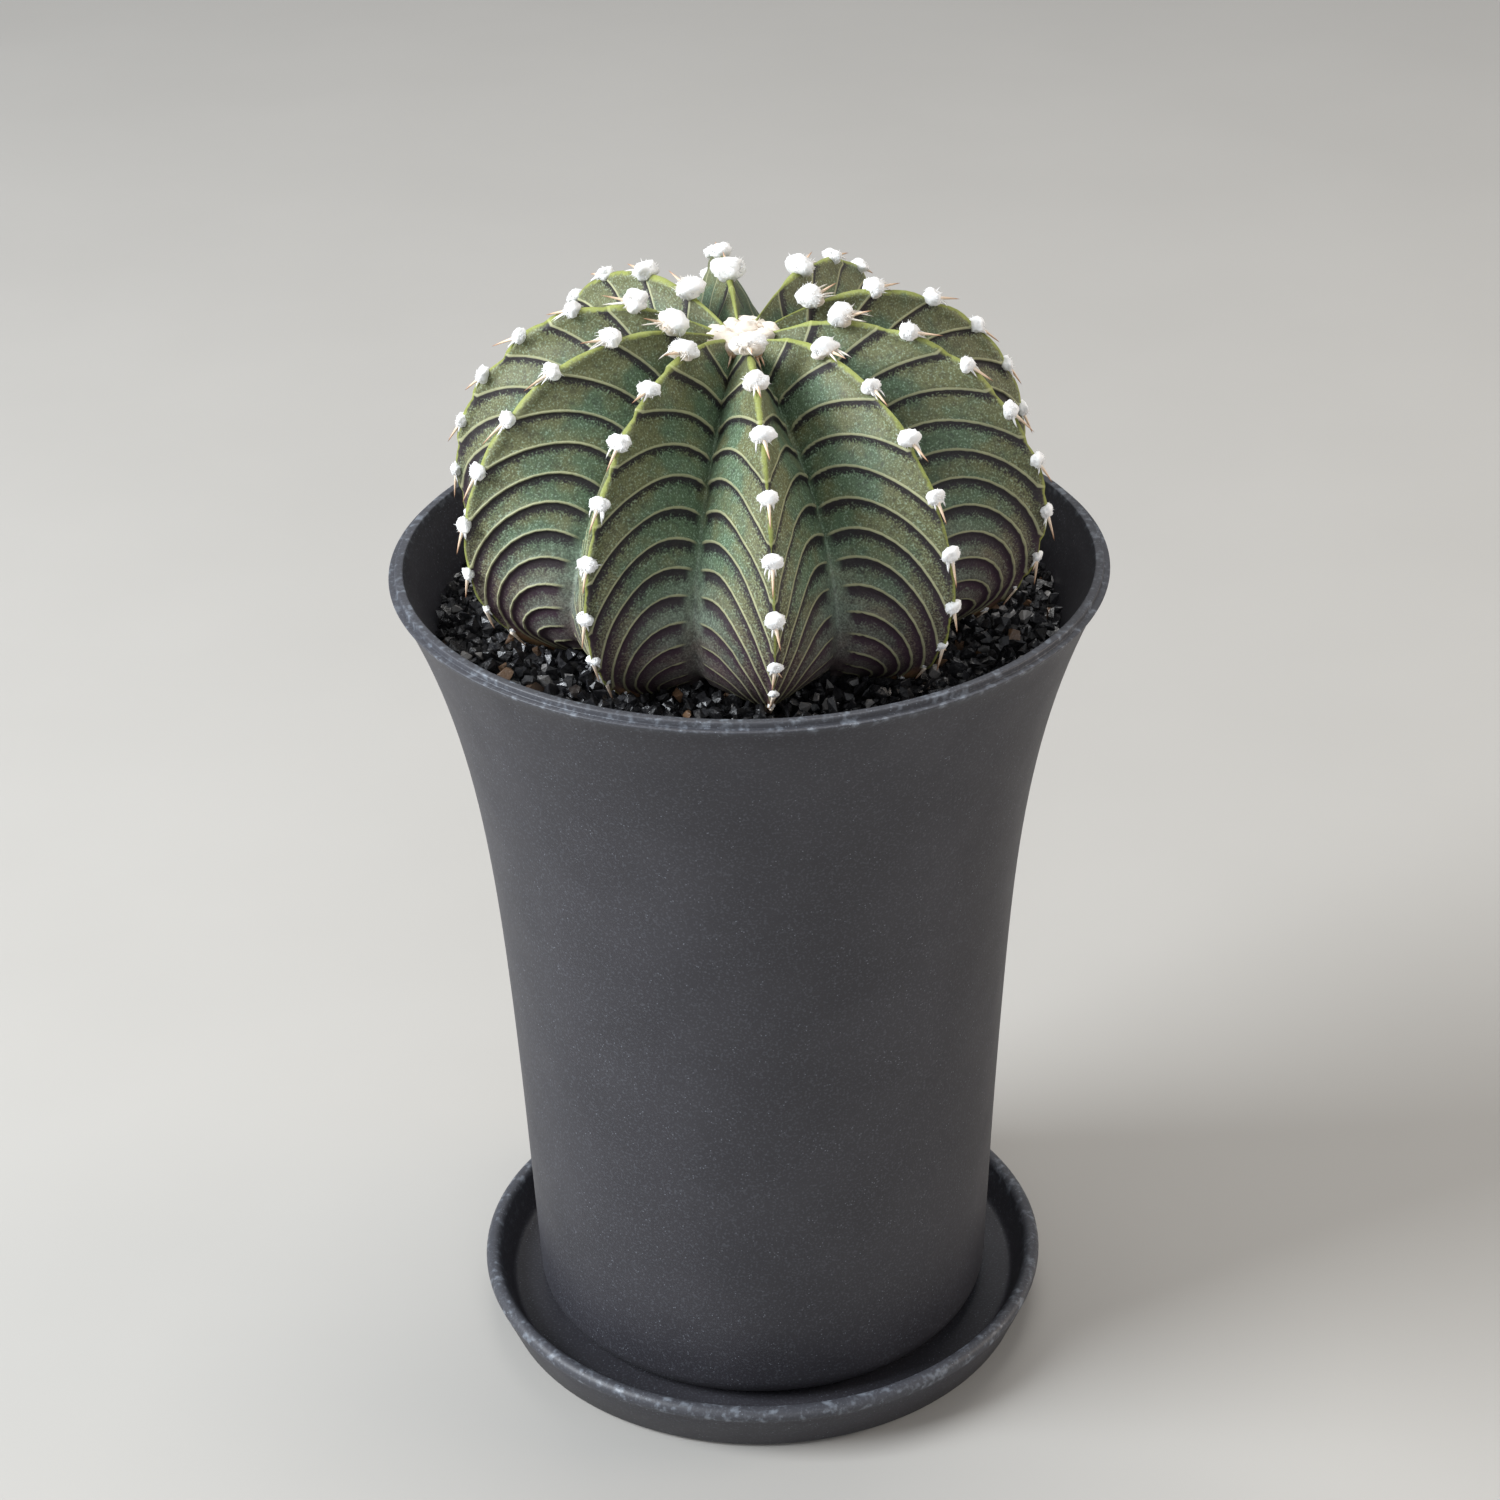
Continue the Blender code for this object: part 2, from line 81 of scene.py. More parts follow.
class Value:
    """A number socket that can stand in a Python expression."""

    def __init__(self, graph: "Graph", socket: bpy.types.NodeSocket) -> None:
        """Wrap a socket of a graph."""
        self.graph = graph
        self.socket = socket

    def math(self, operation: str, *others: "Value | float") -> "Value":
        """Add a Math node on this value.

        Args:
            operation: The Math node's operation.
            others: The further operands.

        Returns:
            The node's result.
        """
        inputs = dict(enumerate((self, *others)))
        return self.graph.value("ShaderNodeMath", {"operation": operation}, inputs)

    def __add__(self, other: "Value | float") -> "Value":
        """Sum."""
        return self.math("ADD", other)

    __radd__ = __add__

    def __sub__(self, other: "Value | float") -> "Value":
        """Difference."""
        return self.math("SUBTRACT", other)

    def __rsub__(self, other: float) -> "Value":
        """Difference from a number."""
        return (self * -1.0) + other

    def __mul__(self, other: "Value | float") -> "Value":
        """Product."""
        return self.math("MULTIPLY", other)

    __rmul__ = __mul__

    def __truediv__(self, other: "Value | float") -> "Value":
        """Quotient."""
        return self.math("DIVIDE", other)

    def __pow__(self, other: "Value | float") -> "Value":
        """Power."""
        return self.math("POWER", other)

    def fraction(self) -> "Value":
        """The part after the whole number."""
        return self.math("FRACT")

    def least(self, other: "Value | float") -> "Value":
        """The smaller of the two."""
        return self.math("MINIMUM", other)

    def rise(self, start: float, end: float) -> "Value":
        """Rise smoothly from 0 to 1 between two levels, or fall if the first is the larger.

        Args:
            start: The level where the result is 0.
            end: The level where the result is 1.

        Returns:
            The eased share.
        """
        settings = {"interpolation_type": "SMOOTHSTEP"}
        low, high, first, last = (start, end, 0.0, 1.0) if start < end else (end, start, 1.0, 0.0)
        inputs = {0: self, 1: low, 2: high, 3: first, 4: last}
        return self.graph.value("ShaderNodeMapRange", settings, inputs)


class Graph:
    """The node tree of one material, with a Principled shader at its end."""

    def __init__(self, name: str) -> None:
        """Make an empty material of that name."""
        self.material = bpy.data.materials.new(name)
        self.material.use_nodes = True
        self.tree = self.material.node_tree
        self.tree.nodes.clear()

    def node(self, kind: str, settings: dict | None = None, inputs: dict | None = None) -> bpy.types.Node:
        """Add a node.

        Args:
            kind: The node's type.
            settings: Its properties, set first.
            inputs: Values or links by socket name or number.

        Returns:
            The node.
        """
        node = self.tree.nodes.new(kind)
        for key, setting in (settings or {}).items():
            setattr(node, key, setting)
        for key, given in (inputs or {}).items():
            socket = node.inputs[key]
            given = given.socket if isinstance(given, Value) else given
            if isinstance(given, bpy.types.NodeSocket):
                self.tree.links.new(given, socket)
            elif isinstance(given, tuple) and len(given) == 3 and socket.type == "RGBA":
                socket.default_value = (*given, 1.0)
            else:
                socket.default_value = given
        return node

    def value(self, kind: str, settings: dict | None = None, inputs: dict | None = None,
              output: str | int = 0) -> Value:
        """Add a node and wrap one of its outputs as a number."""
        return Value(self, self.node(kind, settings, inputs).outputs[output])

    def place(self) -> bpy.types.NodeSocket:
        """Position on the piece, in metres."""
        return self.node("ShaderNodeTexCoord").outputs["Object"]

    def attribute(self, name: str) -> Value:
        """A number stored on the mesh's points."""
        return self.value("ShaderNodeAttribute", {"attribute_name": name}, output="Fac")

    def noise(self, size: float, detail: float = 2.0, warp: float = 0.0, salt: float = 0.0) -> Value:
        """Soft noise.

        Args:
            size: Width of one blotch, in metres.
            detail: How many finer layers lie on it.
            warp: How far it swirls.
            salt: Shifts it, so that two noises of one size differ.

        Returns:
            A value around 0.5.
        """
        settings = {"noise_dimensions": "4D"}
        inputs = {"Vector": self.place(), "W": salt, "Scale": 1.0 / size}
        inputs |= {"Detail": detail, "Distortion": warp}
        return self.value("ShaderNodeTexNoise", settings, inputs)

    def cells(self, size: float) -> Value:
        """Distance to the nearest of many scattered points.

        Args:
            size: Mean spacing of the points, in metres.

        Returns:
            The distance, in spacings.
        """
        inputs = {"Vector": self.place(), "Scale": 1.0 / size}
        return self.value("ShaderNodeTexVoronoi", {"feature": "F1"}, inputs, "Distance")

    def mix(self, below: object, above: object, share: Value | float) -> bpy.types.NodeSocket:
        """Lay one colour over another.

        Args:
            below: The first colour or its socket.
            above: The second colour or its socket.
            share: How much of the second shows.

        Returns:
            The mixed colour's socket.
        """
        settings = {"data_type": "RGBA", "blend_type": "MIX"}
        return self.node("ShaderNodeMix", settings, {0: share, 6: below, 7: above}).outputs[2]

    def bump(self, height: Value, depth: float, strength: float = 1.0) -> bpy.types.NodeSocket:
        """Turn a height from 0 to 1 into a shading normal.

        Args:
            height: The height field.
            depth: What a height of 1 stands for, in metres.
            strength: How much of it shows.

        Returns:
            The normal's socket.
        """
        inputs = {"Strength": strength, "Distance": depth, "Height": height}
        return self.node("ShaderNodeBump", None, inputs).outputs["Normal"]

    def close(self, inputs: dict) -> bpy.types.Material:
        """End the tree in a Principled shader.

        Args:
            inputs: The shader's values and links by socket name.

        Returns:
            The finished material.
        """
        shader = self.node("ShaderNodeBsdfPrincipled", None, inputs)
        self.node("ShaderNodeOutputMaterial", None, {"Surface": shader.outputs["BSDF"]})
        return self.material


# ---- finishes ----


@dataclass(frozen=True)
class MouldedPlastic:
    """Charcoal plastic with a fine matt grain, faint glitter, and edges lightened partly by rubbed wear and
    partly by a painted highlight.
    """

    name: str
    body: Colour = screen(43, 42, 47)
    cloud: Colour = screen(49, 48, 53)
    glitter: Colour = screen(140, 146, 156)
    rubbed_and_highlight: Colour = screen(150, 158, 168)
    grain: float = 0.35 * MM
    cloud_size: float = 14.0 * MM
    fleck_spacing: float = 0.55 * MM
    fleck_cluster: float = 1.7 * MM
    sparkle_size: float = 0.32 * MM
    scuff_size: float = 1.1 * MM
    gloss_drift: float = 5.0 * MM

    def material(self) -> bpy.types.Material:
        """Build the node material."""
        graph = Graph(self.name)
        cloud = graph.noise(self.cloud_size, 3.0).rise(0.35, 0.7)
        base = graph.mix(self.body, self.cloud, cloud)
        clusters = graph.noise(self.fleck_cluster, 1.0, salt=3.0).rise(0.5, 0.62)
        flecks = graph.cells(self.fleck_spacing).rise(0.2, 0.08) * clusters
        base = graph.mix(base, self.glitter, flecks * 0.5)
        sparkle = graph.noise(self.sparkle_size, 1.0, salt=9.0)
        base = graph.mix(base, self.glitter, sparkle.rise(0.5, 0.72) * 0.1)
        # Edges get a lighter colour: partly rubbed wear, partly a painted highlight along the rim's edges.
        scuffs_and_glints = graph.noise(self.scuff_size, 3.0, salt=7.0).rise(0.5, 0.72)
        wear_and_highlight = graph.attribute("edge") ** 3.0 * (0.12 + 0.88 * scuffs_and_glints)
        base = graph.mix(base, self.rubbed_and_highlight, wear_and_highlight * 0.42)
        pores = graph.noise(self.grain)
        rough = 0.46 + 0.14 * graph.noise(self.gloss_drift, salt=2.0) - 0.18 * wear_and_highlight - 0.12 * flecks
        return graph.close({
            "Base Color": base,
            "Roughness": rough,
            "Normal": graph.bump(pores, 0.035 * MM, 0.5),
            "Specular IOR Level": 0.45,
        })


@dataclass(frozen=True)
class LavaStone:
    """Angular black lava grit, with a few grey and tan grains."""

    name: str
    black: Colour = screen(17, 17, 19)
    dark: Colour = screen(40, 40, 43)
    grey: Colour = screen(138, 136, 134)
    tan: Colour = screen(128, 98, 72)
    dust: Colour = screen(112, 110, 108)
    dust_size: float = 0.5 * MM
    pit_size: float = 0.3 * MM
    gloss_size: float = 0.8 * MM

    def material(self) -> bpy.types.Material:
        """Build the node material."""
        graph = Graph(self.name)
        chance = graph.attribute("chance")
        base = graph.mix(self.black, self.dark, (chance * 3.7).fraction())
        base = graph.mix(base, self.grey, chance.rise(0.90, 0.97))
        base = graph.mix(base, self.tan, chance.rise(0.045, 0.02) * 0.8)
        dust = graph.noise(self.dust_size, 3.0).rise(0.45, 0.75)
        base = graph.mix(base, self.dust, dust * 0.16)
        pits = graph.noise(self.pit_size, 3.0, salt=1.0)
        return graph.close({
            "Base Color": base,
            "Roughness": 0.12 + 0.42 * graph.noise(self.gloss_size, salt=4.0),
            "Normal": graph.bump(pits, 0.12 * MM, 0.8),
            "Specular IOR Level": 0.7,
        })


@dataclass(frozen=True)
class PottingMix:
    """Dark crumbly soil with pale bits of pumice and fibre."""

    name: str
    loam: Colour = screen(66, 50, 38)
    crumb: Colour = screen(38, 29, 23)
    pumice: Colour = screen(168, 158, 140)
    crumb_size: float = 1.4 * MM
    pumice_spacing: float = 3.2 * MM

    def material(self) -> bpy.types.Material:
        """Build the node material."""
        graph = Graph(self.name)
        crumbs = graph.noise(self.crumb_size, 4.0, 0.4)
        base = graph.mix(self.crumb, self.loam, crumbs.rise(0.35, 0.65))
        bits = graph.cells(self.pumice_spacing).rise(0.26, 0.18)
        base = graph.mix(base, self.pumice, bits)
        return graph.close({
            "Base Color": base,
            "Roughness": 0.88 + 0.1 * crumbs,
            "Normal": graph.bump(crumbs + bits * 0.4, 0.7 * MM),
        })


@dataclass(frozen=True)
class RootBark:
    """Corky tan bark that is creased along and across."""

    name: str
    cork: Colour = screen(158, 128, 92)
    crease: Colour = screen(92, 68, 46)
    flake_size: float = 1.6 * MM
    lengthwise: tuple = (1.0, 1.0, 0.35)

    def material(self) -> bpy.types.Material:
        """Build the node material."""
        graph = Graph(self.name)
        mapping = {"Vector": graph.place(), "Scale": self.lengthwise}
        stretch = graph.node("ShaderNodeMapping", None, mapping)
        inputs = {"Vector": stretch.outputs["Vector"], "Scale": 1.0 / self.flake_size, "Detail": 4.0}
        bark = graph.value("ShaderNodeTexNoise", None, inputs)
        base = graph.mix(self.crease, self.cork, bark.rise(0.36, 0.62))
        return graph.close({
            "Base Color": base,
            "Roughness": 0.8 + 0.15 * bark,
            "Normal": graph.bump(bark, 0.4 * MM),
        })


@dataclass(frozen=True)
class BandedSkin:
    """Cactus skin: speckled green bands, each under a pale crest and above a dark stripe that is partly the
    skin's own pigment and partly painted shade.
    """

    name: str
    olive: Colour = screen(103, 105, 70)
    moss: Colour = screen(84, 104, 78)
    frost: Colour = screen(170, 192, 172)
    stripe_and_shade: Colour = screen(30, 21, 31)
    plum: Colour = screen(92, 66, 80)
    crest: Colour = screen(184, 184, 144)
    ridge: Colour = screen(152, 160, 80)
    cork: Colour = screen(150, 112, 72)
    crest_half: float = 0.12
    ridge_half: float = 0.15
    speckle_size: float = 0.24 * MM
    grain_size: float = 0.75 * MM
    patch_size: float = 4.0 * MM

    def material(self) -> bpy.types.Material:
        """Build the node material."""
        graph = Graph(self.name)
        band, pitch = graph.attribute("band"), graph.attribute("pitch")
        edge, across = graph.attribute("edge"), graph.attribute("across")
        level = graph.attribute("level")

        fine = graph.noise(self.speckle_size)
        grain = graph.noise(self.grain_size, salt=5.0)
        patch = graph.noise(self.patch_size, 3.0, salt=2.0)

        # Levels are in millimetres above the rim, and bands are measured down from the crown.
        share = band.fraction()
        below = share * pitch
        above = (1.0 - share) * pitch
        low = level.rise(17.0, 5.0)
        shows = (across - 0.07 * low).rise(0.0, 0.1)
        outer = across.rise(0.45, 0.95)

        # Green ground, frosted along the valley and stippled all over.
        base = graph.mix(self.moss, self.olive, (patch + outer * 0.25).rise(0.42, 0.72))
        valley = across.rise(0.5, 0.03) * low * level.rise(-1.0, 6.0)
        base = graph.mix(base, self.frost, valley * (0.2 + 0.3 * grain))
        base = graph.mix(base, self.frost, fine.rise(0.52, 0.7) * 0.4)
        # Plum comes in towards the soil.
        soil_side = level.rise(15.0, -4.0)
        base = graph.mix(base, self.plum, soil_side * (0.4 + 0.6 * patch))

        # Dark speckle that gathers into a stripe under each crest. The stripe is partly the skin's own dark
        # band and partly painted shade under the raised crest.
        aged = level.rise(27.0, 6.0)
        shade = 0.24 + 0.34 * outer * aged + 0.14 * soil_side
        speckle = fine.rise(0.54, 0.4) * shade + grain.rise(0.5, 0.36) * 0.22
        base = graph.mix(base, self.stripe_and_shade, speckle.least(1.0))
        reach = pitch * (0.2 + 0.36 * aged) + 0.2
        # Painted shade: the dark stripe under each crest also stands for the crest's shadow.
        stripe_and_shade = ((below + (fine - 0.5) * 1.9 + (grain - 0.5) * 0.6) / reach).rise(1.1, 0.5)
        band_shade = graph.mix(self.stripe_and_shade, self.plum, soil_side * 0.45)
        base = graph.mix(base, band_shade, stripe_and_shade * shows * 0.92)

        # Pale crests and ridge, and cork where old ribs meet the soil.
        line = below.least(above) + (grain - 0.5) * 0.12
        crest = line.rise(self.crest_half * 1.8, self.crest_half * 0.6) * shows
        base = graph.mix(base, self.crest, crest * (0.35 + 0.55 * patch))
        keel = (edge + (grain - 0.5) * 0.5).rise(self.ridge_half * 2.2, self.ridge_half * 0.5)
        base = graph.mix(base, self.ridge, keel * 0.7)
        corky = level.rise(-1.5, -5.0) * (edge + (patch - 0.5) * 6.0).rise(3.0, 0.4)
        base = graph.mix(base, self.cork, corky * 0.85)

        return graph.close({
            "Base Color": base,
            "Roughness": 0.46 + 0.22 * fine,
            "Normal": graph.bump(fine + grain * 0.6, 0.07 * MM, 0.7),
            "Specular IOR Level": 0.35,
        })


class WoolTone(Enum):
    """Colours of areole wool: fresh white, and the cream felt of the crown."""

    WHITE = (screen(232, 231, 229), screen(206, 192, 174))
    CREAM = (screen(224, 212, 196), screen(186, 140, 98))


@dataclass(frozen=True)
class Wool:
    """Felted wool whose foot is tinted by the spines under it."""

    name: str
    tone: WoolTone
    fluff_size: float = 0.35 * MM
    light_reach: tuple = (0.6 * MM, 0.55 * MM, 0.5 * MM)

    def material(self) -> bpy.types.Material:
        """Build the node material."""
        graph = Graph(self.name)
        clean, tinted = self.tone.value
        foot = graph.attribute("foot")
        fluff = graph.noise(self.fluff_size, 3.0, 0.5)
        base = graph.mix(clean, tinted, (foot + (fluff - 0.5) * 0.7).rise(0.35, 1.0))
        return graph.close({
            "Base Color": base,
            "Roughness": 0.85 + 0.1 * fluff,
            "Normal": graph.bump(fluff, 0.12 * MM, 0.6),
            "Specular IOR Level": 0.2,
            "Sheen Weight": 0.35,
            "Sheen Roughness": 0.5,
            "Subsurface Weight": 0.15,
            "Subsurface Radius": self.light_reach,
            "Subsurface Scale": 1.0,
        })


@dataclass(frozen=True)
class SpineHorn:
    """Horn of the spines: cream at the foot, rosy along the shaft, brown at the tip."""

    name: str
    foot: Colour = screen(236, 222, 204)
    shaft: Colour = screen(216, 188, 160)
    tip: Colour = screen(160, 112, 80)
    blotch_size: float = 0.7 * MM
    streak_size: float = 0.2 * MM

    def material(self) -> bpy.types.Material:
        """Build the node material."""
        graph = Graph(self.name)
        along = graph.attribute("along") + (graph.noise(self.blotch_size) - 0.5) * 0.3
        base = graph.mix(self.foot, self.shaft, along.rise(0.0, 0.55))
        base = graph.mix(base, self.tip, along.rise(0.5, 1.0))
        streaks = graph.noise(self.streak_size, salt=6.0)
        return graph.close({
            "Base Color": base,
            "Roughness": 0.38 + 0.2 * streaks,
            "Normal": graph.bump(streaks, 0.02 * MM, 0.5),
        })


@dataclass(frozen=True)
class PaleSweep:
    """Plain pale floor with a trace of unevenness."""

    name: str
    pale: Colour = screen(168, 165, 160)
    shade: Colour = screen(165, 162, 157)
    drift_size: float = 60.0 * MM

    def material(self) -> bpy.types.Material:
        """Build the node material."""
        graph = Graph(self.name)
        drift = graph.noise(self.drift_size, 3.0)
        return graph.close({
            "Base Color": graph.mix(self.pale, self.shade, drift.rise(0.2, 0.8)),
            "Roughness": 0.75 + 0.1 * drift,
        })


# ---- meshes ----


@dataclass
class Shape:
    """Points, faces and per-point numbers of a mesh that is being built."""

    points: np.ndarray
    faces: list[tuple[int, ...]]
    marks: dict[str, np.ndarray] = field(default_factory=dict)

    def piece(self, name: str, material: bpy.types.Material, slot: str, smooth: bool = True,
              stands_for: Iterable[str] = ()) -> bpy.types.Object:
        """Make the object, hang it on the body's empty, and hide the CAD nodes that it stands for.

        Args:
            name: The piece's name.
            material: Its finish.
            slot: The name of the finish's slot. Not used.
            smooth: Whether its faces are shaded smooth.
            stands_for: The CAD nodes that it replaces.

        Returns:
            The new object.
        """
        mesh = bpy.data.meshes.new(name)
        mesh.from_pydata(self.points.tolist(), [], self.faces)
        for mark, numbers in self.marks.items():
            layer = mesh.attributes.new(mark, "FLOAT", "POINT")
            layer.data.foreach_set("value", np.asarray(numbers, np.float32).ravel())
        mesh.materials.append(material)
        if smooth:
            mesh.shade_smooth()
        mesh.update()
        obj = bpy.data.objects.new(name, mesh)
        bpy.context.scene.collection.objects.link(obj)
        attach(obj, BODY)
        nodes = tuple(stands_for)
        if nodes:
            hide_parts(*nodes)
        LOG.info("%s: %d points, %d faces", name, len(self.points), len(self.faces))
        return obj

    @staticmethod
    def joined(shapes: Sequence["Shape"]) -> "Shape":
        """Put several shapes with the same marks into one."""
        faces: list[tuple[int, ...]] = []
        start = 0
        for shape in shapes:
            faces += [tuple(corner + start for corner in face) for face in shape.faces]
            start += len(shape.points)
        points = np.concatenate([shape.points for shape in shapes])
        marks = {mark: np.concatenate([shape.marks[mark] for shape in shapes]) for mark in shapes[0].marks}
        return Shape(points, faces, marks)


def arc(centre: tuple[float, float], radius: float, start: float, end: float, count: int) -> list:
    """Points on an arc in the profile plane.

    Args:
        centre: Its centre, as radius and height.
        radius: Its radius.
        start: First angle, in degrees.
        end: Last angle, in degrees.
        count: How many points, both ends included.

    Returns:
        The points, as radius and height.
    """
    angles = np.radians(np.linspace(start, end, count))
    return [(centre[0] + radius * math.cos(a), centre[1] + radius * math.sin(a)) for a in angles]


def rounded(corners: Sequence[tuple[float, float, float]], count: int = 4) -> list:
    """Round the corners of a closed outline.

    Args:
        corners: Radius, height and rounding of each corner.
        count: How many points stand for each rounded corner.

    Returns:
        The outline's points, as radius and height, with how much of an edge each one is.
    """
    found = []
    total = len(corners)
    for i, (radius, height, rounding) in enumerate(corners):
        here = np.array((radius, height))
        if rounding <= 0.0:
            found.append((radius, height, 0.0))
            continue
        before = np.array(corners[i - 1][:2]) - here
        after = np.array(corners[(i + 1) % total][:2]) - here
        first = here + before * min(rounding / np.linalg.norm(before), 0.45)
        last = here + after * min(rounding / np.linalg.norm(after), 0.45)
        for share in np.linspace(0.0, 1.0, count):
            point = first * (1 - share) ** 2 + here * 2 * share * (1 - share) + last * share**2
            found.append((point[0], point[1], 1.0))
    return found


def turned(outline: Sequence[tuple[float, float, float]], steps: int) -> Shape:
    """Turn a closed outline about Z.

    Args:
        outline: Radius, height and edge mark of each point, listed down the outer side.
        steps: How many columns go round.

    Returns:
        The turned shape. Points on the axis are shared by all columns.
    """
    profile = np.array(outline)
    angles = np.linspace(0.0, 2 * math.pi, steps, endpoint=False)
    points: list[tuple[float, float, float]] = []
    marks: list[float] = []
    rings: list[list[int]] = []
    for radius, height, mark in profile:
        first = len(points)
        if radius < 1e-7:
            points.append((0.0, 0.0, height))
            marks.append(mark)
            rings.append([first] * steps)
            continue
        points += [(radius * math.cos(a), radius * math.sin(a), height) for a in angles]
        marks += [mark] * steps
        rings.append(list(range(first, first + steps)))
    faces = []
    pairs = list(zip(rings, rings[1:] + rings[:1]))
    for upper, lower in pairs:
        for i in range(steps):
            j = (i + 1) % steps
            face = tuple(dict.fromkeys((upper[i], lower[i], lower[j], upper[j])))
            if len(face) > 2:
                faces.append(face)
    return Shape(np.array(points), faces, {"edge": np.array(marks)})


def tube_faces(rings: int, sides: int) -> list[tuple[int, ...]]:
    """Faces of a tapering tube: a flat foot, rings of four-sided faces and a pointed tip.

    Args:
        rings: How many rings of points it has.
        sides: Points in each ring. The tip's point comes after the last ring.

    Returns:
        The faces.
    """
    faces: list[tuple[int, ...]] = [tuple(reversed(range(sides)))]
    for ring in range(rings - 1):
        here, after = ring * sides, (ring + 1) * sides
        for side in range(sides):
            beside = (side + 1) % sides
            faces.append((here + side, here + beside, after + beside, after + side))
    last, tip = (rings - 1) * sides, rings * sides
    return faces + [(last + side, last + (side + 1) % sides, tip) for side in range(sides)]


def ring_faces(upper: int, lower: int, count: int) -> list[tuple[int, ...]]:
    """Four-sided faces between two closed rings of points that start at these numbers."""
    beside = [(i + 1) % count for i in range(count)]
    return [(upper + i, lower + i, lower + j, upper + j) for i, j in enumerate(beside)]


def ripple(points: np.ndarray, size: float, seed: int, waves: int = 14) -> np.ndarray:
    """Smooth noise from crossing waves.

    Args:
        points: Where to read it.
        size: Length of a wave.
        seed: Chooses the waves.
        waves: How many cross.

    Returns:
        A value around 0 for each point, mostly within 1 of it.
    """
    draw = np.random.default_rng(seed)
    total = np.zeros(points.shape[:-1])
    for _ in range(waves):
        direction = draw.normal(size=3)
        direction *= 2 * math.pi / (size * np.linalg.norm(direction) * draw.uniform(0.7, 1.5))
        total += np.sin(points @ direction + draw.uniform(0, 2 * math.pi))
    return total / math.sqrt(waves)


# ---- pot and saucer ----


@dataclass
class Saucer:
    """Shallow dish on a ring foot, with a rolled lip."""

    foot_radius: float = 34.7 * MM
    foot_width: float = 3.2 * MM
    recess: float = 1.2 * MM
    floor_radius: float = 34.4 * MM
    floor_top: float = 3.2 * MM
    lip_width: float = 2.1 * MM
    lip_shade: float = 0.12
    corner: float = 0.7 * MM
    steps: int = 192

    def outline(self) -> list[tuple[float, float, float]]:
        """Outline from the middle of the floor over the lip to the underside, within the CAD box."""
        low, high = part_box("saucer")
        bead = self.lip_width / 2
        lip = (high.x - bead, high.z - bead)
        inner_foot = self.foot_radius - self.foot_width
        inner = rounded([
            (0.0, self.floor_top, 0.0),
            (self.floor_radius - self.corner, self.floor_top, 0.0),
            (self.floor_radius + self.corner / 2, self.floor_top, self.corner),
            (lip[0] - bead, lip[1], 0.0),
        ])
        points = [(radius, height, 0.0) for radius, height, _ in inner[:-1]]
        points += [(radius, height, 1.0) for radius, height in arc(lip, bead, 184, -28, 15)]
        foot = rounded([
            (high.x, low.z + 3 * self.corner, 0.0),
            (self.foot_radius + self.corner / 2, low.z, 1.6 * self.corner),
            (inner_foot, low.z, 0.5 * self.corner),
            (inner_foot - self.recess, low.z + self.recess, 0.5 * self.corner),
            (0.0, low.z + self.recess, 0.0),
        ], 6)
        under_lip = Vector(points[-1][:2]).lerp(Vector(foot[1][:2]), self.lip_shade)
        points.append((under_lip.x, under_lip.y, 0.0))
        return points + [(radius, height, 0.0) for radius, height, _ in foot[1:]]

    def build(self, material: bpy.types.Material) -> bpy.types.Object:
        """Turn the dish."""
        shape = turned(self.outline(), self.steps)
        return shape.piece("saucer_dish", material, "saucer_plastic", stands_for=["saucer"])


